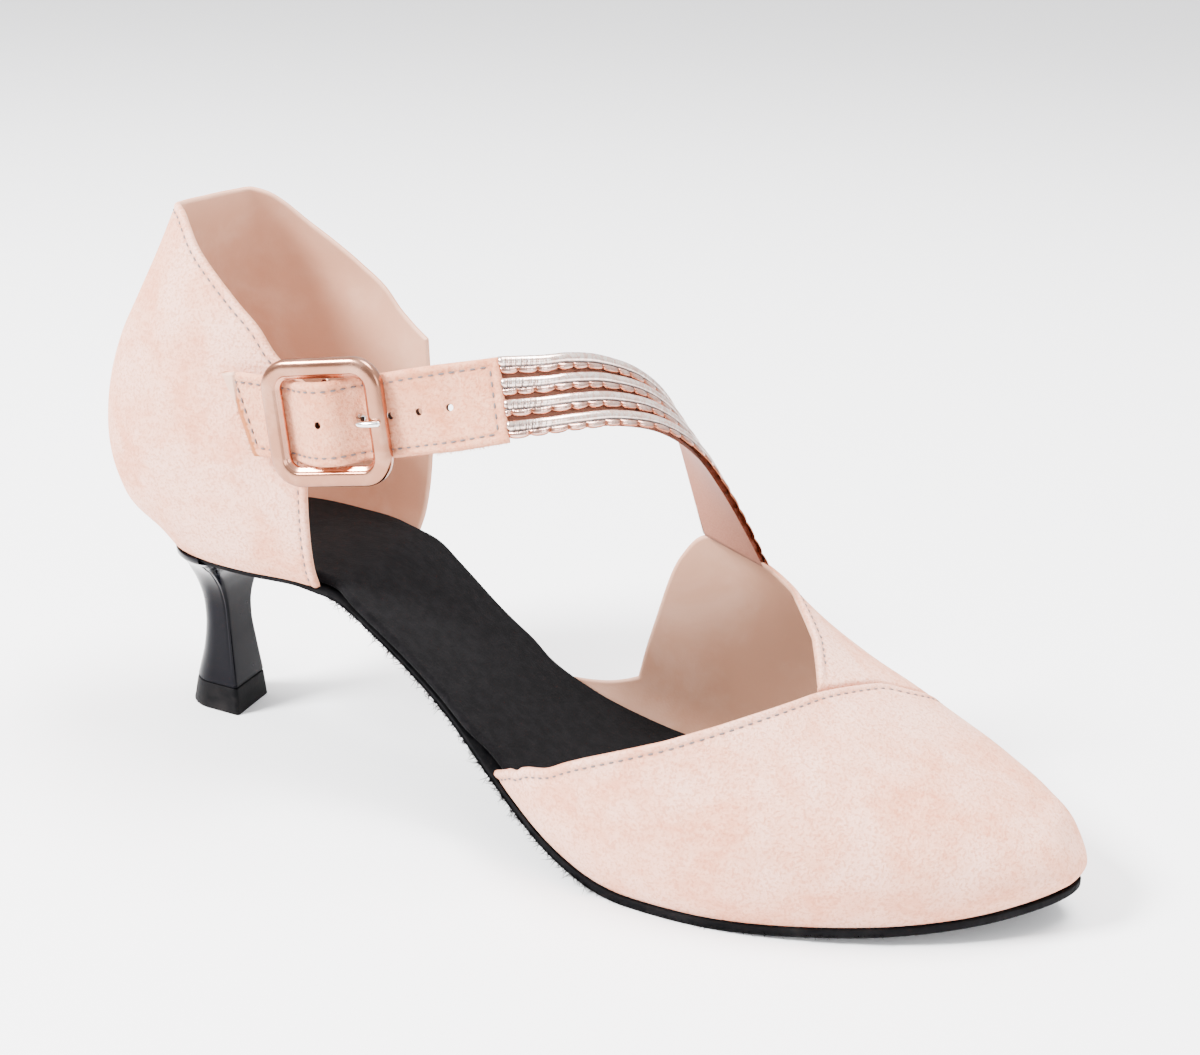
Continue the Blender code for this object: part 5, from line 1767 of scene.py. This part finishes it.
def make_heel():
    """Flared lacquered heel with a fine groove down each breast ridge and one across between
    their tops, and its tread piece."""
    split = TOP_PIECE_HEIGHT / SEAT_HEIGHT
    foot = split + GAP / SEAT_HEIGHT
    heights = np.concatenate([[foot], np.linspace(foot + 0.008, 1.0, 120)])
    rings = np.array([heel_ring(height) for height in heights])
    count = rings.shape[1]
    middle = rings.mean(axis=1, keepdims=True)
    index = np.arange(count)[None, :]
    first = HEEL_SIDES + HEEL_SIDE_POINTS
    last = count - 1 - HEEL_SIDE_POINTS
    groove = hump(index, first, GROOVE_POINTS) + hump(index, last, GROOVE_POINTS)
    over = hump(heights[:, None], *BREAST_LINE) * ((index >= first) & (index <= last))
    reach = ease(heights, *GROOVE_START) * (1 - ease(heights, *GROOVE_STOP))
    depth = HEEL_GROOVE * (groove * reach[:, None] + over)
    rings = rings + unit(middle - rings) * depth[..., None]
    mask = np.zeros(count)
    mask[:first] = mask[last + 1:] = 1
    whole = np.concatenate([closed_end(rings[0], HEEL_ARRIS, 1), rings[1:-1],
                            heel_top(rings[-1], mask)])
    new_piece("heel_skin", whole, ring_quads(len(whole), count), (LACQUER,),
              ("heel",))
    heights = np.linspace(0, split, 9)
    rings = np.array([heel_ring(height) for height in heights])
    whole = np.concatenate([closed_end(rings[0], TOP_PIECE_ARRIS, 1), rings[1:-1],
                            closed_end(rings[-1], TOP_PIECE_ARRIS, -1)[::-1]])
    new_piece("top_piece_skin", whole, ring_quads(len(whole), count), (RUBBER,),
              ("top_piece",))


# Setting: floor, light and the photograph's view

VIEW_AZIMUTH = 26.626
VIEW_ELEVATION = 19.777
VIEW_ROLL = 1.751
VIEW_TARGET = np.array([119.59, 10.37, 60.91])
VIEW_DISTANCE = 419.426
VIEW_LENS = 56.82
SENSOR_WIDTH = 36.0
NEAREST_SEEN = 0.01
FLOOR_HALF = 6.0
WORLD_STRENGTH = 2.0
LIGHT_AIM = (0, 0, 0.05)
LIGHTS = (
    ("key", (-0.75, -0.80, 1.05), (0.40, 0.40), 88.0),
    ("top", (0.25, 0.25, 1.2), (0.7, 0.5), 32.0),
    ("fill", (1.2, -0.6, 0.5), (0.6, 0.6), 9.0),
)


def view_axes():
    """Camera's right, up and backward directions from its azimuth, elevation and roll."""
    around, above, roll = np.radians([VIEW_AZIMUTH, VIEW_ELEVATION, VIEW_ROLL])
    back = np.array([np.sin(around) * np.cos(above), -np.cos(around) * np.cos(above),
                     np.sin(above)])
    level = np.array([np.cos(around), np.sin(around), 0.0])
    upright = np.cross(back, level)
    right = level * np.cos(roll) + upright * np.sin(roll)
    return right, np.cross(back, right), back


def set_camera():
    """Camera at the photograph's angle."""
    right, up, back = view_axes()
    lens = bpy.data.cameras.new("view")
    lens.sensor_width = SENSOR_WIDTH
    lens.lens = VIEW_LENS
    lens.clip_start = NEAREST_SEEN
    camera = linked("view", lens)
    place = (VIEW_TARGET + VIEW_DISTANCE * back - PLACE) * MM
    turned = Matrix((right, up, back)).transposed().to_4x4()
    camera.matrix_world = Matrix.Translation(Vector(place)) @ turned
    bpy.context.scene.camera = camera


def set_floor():
    """Plain pale floor, far larger than the view."""
    mesh = bpy.data.meshes.new("floor")
    corners = [(FLOOR_HALF * x, FLOOR_HALF * y, 0) for x, y in ((-1, -1), (1, -1), (1, 1),
                                                                (-1, 1))]
    mesh.from_pydata(corners, [], [(0, 1, 2, 3)])
    made, shader, wires = finish("pale_floor", Roughness=0.9, Specular_IOR_Level=0.1)
    wires.feed(shader.inputs["Base Color"], (0.95, 0.95, 0.96))
    mesh.materials.append(made)
    linked("floor", mesh)


def soft_light(name, place, size, watts):
    """White area light at a place, in metres, turned to face the shoe."""
    lamp = bpy.data.lights.new(name, "AREA")
    lamp.shape = "RECTANGLE"
    lamp.size, lamp.size_y = size
    lamp.energy = watts
    item = linked(name, lamp)
    way = Vector(LIGHT_AIM) - Vector(place)
    turned = way.to_track_quat("-Z", "Y").to_matrix().to_4x4()
    item.matrix_world = Matrix.Translation(Vector(place)) @ turned


def set_light():
    """White studio: bright surroundings, a large soft key from above left, and a fill."""
    world = bpy.data.worlds.new("studio")
    world.use_nodes = True
    wires = Wires(world.node_tree)
    ground = world.node_tree.nodes["Background"]
    way = wires.add("ShaderNodeSeparateXYZ")
    wires.feed(way.inputs[0], wires.add("ShaderNodeTexCoord").outputs["Generated"])
    above = wires.span(way.outputs["Z"], -0.05, 0.75)
    front = wires.span(way.outputs["Y"], -0.2, -0.95)
    sky = wires.mix(above, (0.62, 0.62, 0.65), (1.0, 1.0, 1.0))
    wires.feed(ground.inputs["Color"], wires.mix(wires.sums("MULTIPLY", front, 0.65), sky,
                                                 (0.30, 0.30, 0.33)))
    ground.inputs["Strength"].default_value = WORLD_STRENGTH
    bpy.context.scene.world = world
    for row in LIGHTS:
        soft_light(*row)


def set_stage():
    """Floor, light and camera."""
    set_floor()
    set_light()
    set_camera()


def build():
    """Every piece of the shoe, then its setting."""
    sewn = [make_vamp(), make_wing(), make_quarter(), make_strap()]
    points, quads = joined(sewn)
    new_piece("stitching", points, quads, (THREAD,))
    make_tab()
    make_frame()
    make_bar_and_prong()
    make_tapes()
    make_fuzz()
    sole_layer("outsole_skin", outsole_inset, outsole_levels, (SOLE, SOLE), "black_sole",
               "outsole", 0.35)
    sole_layer("insole_skin", insole_inset, insole_levels, (CLOTH, CLOTH), "insole_cloth",
               "insole", 1.0, crown=0.35)
    make_heel()
    set_stage()


build()
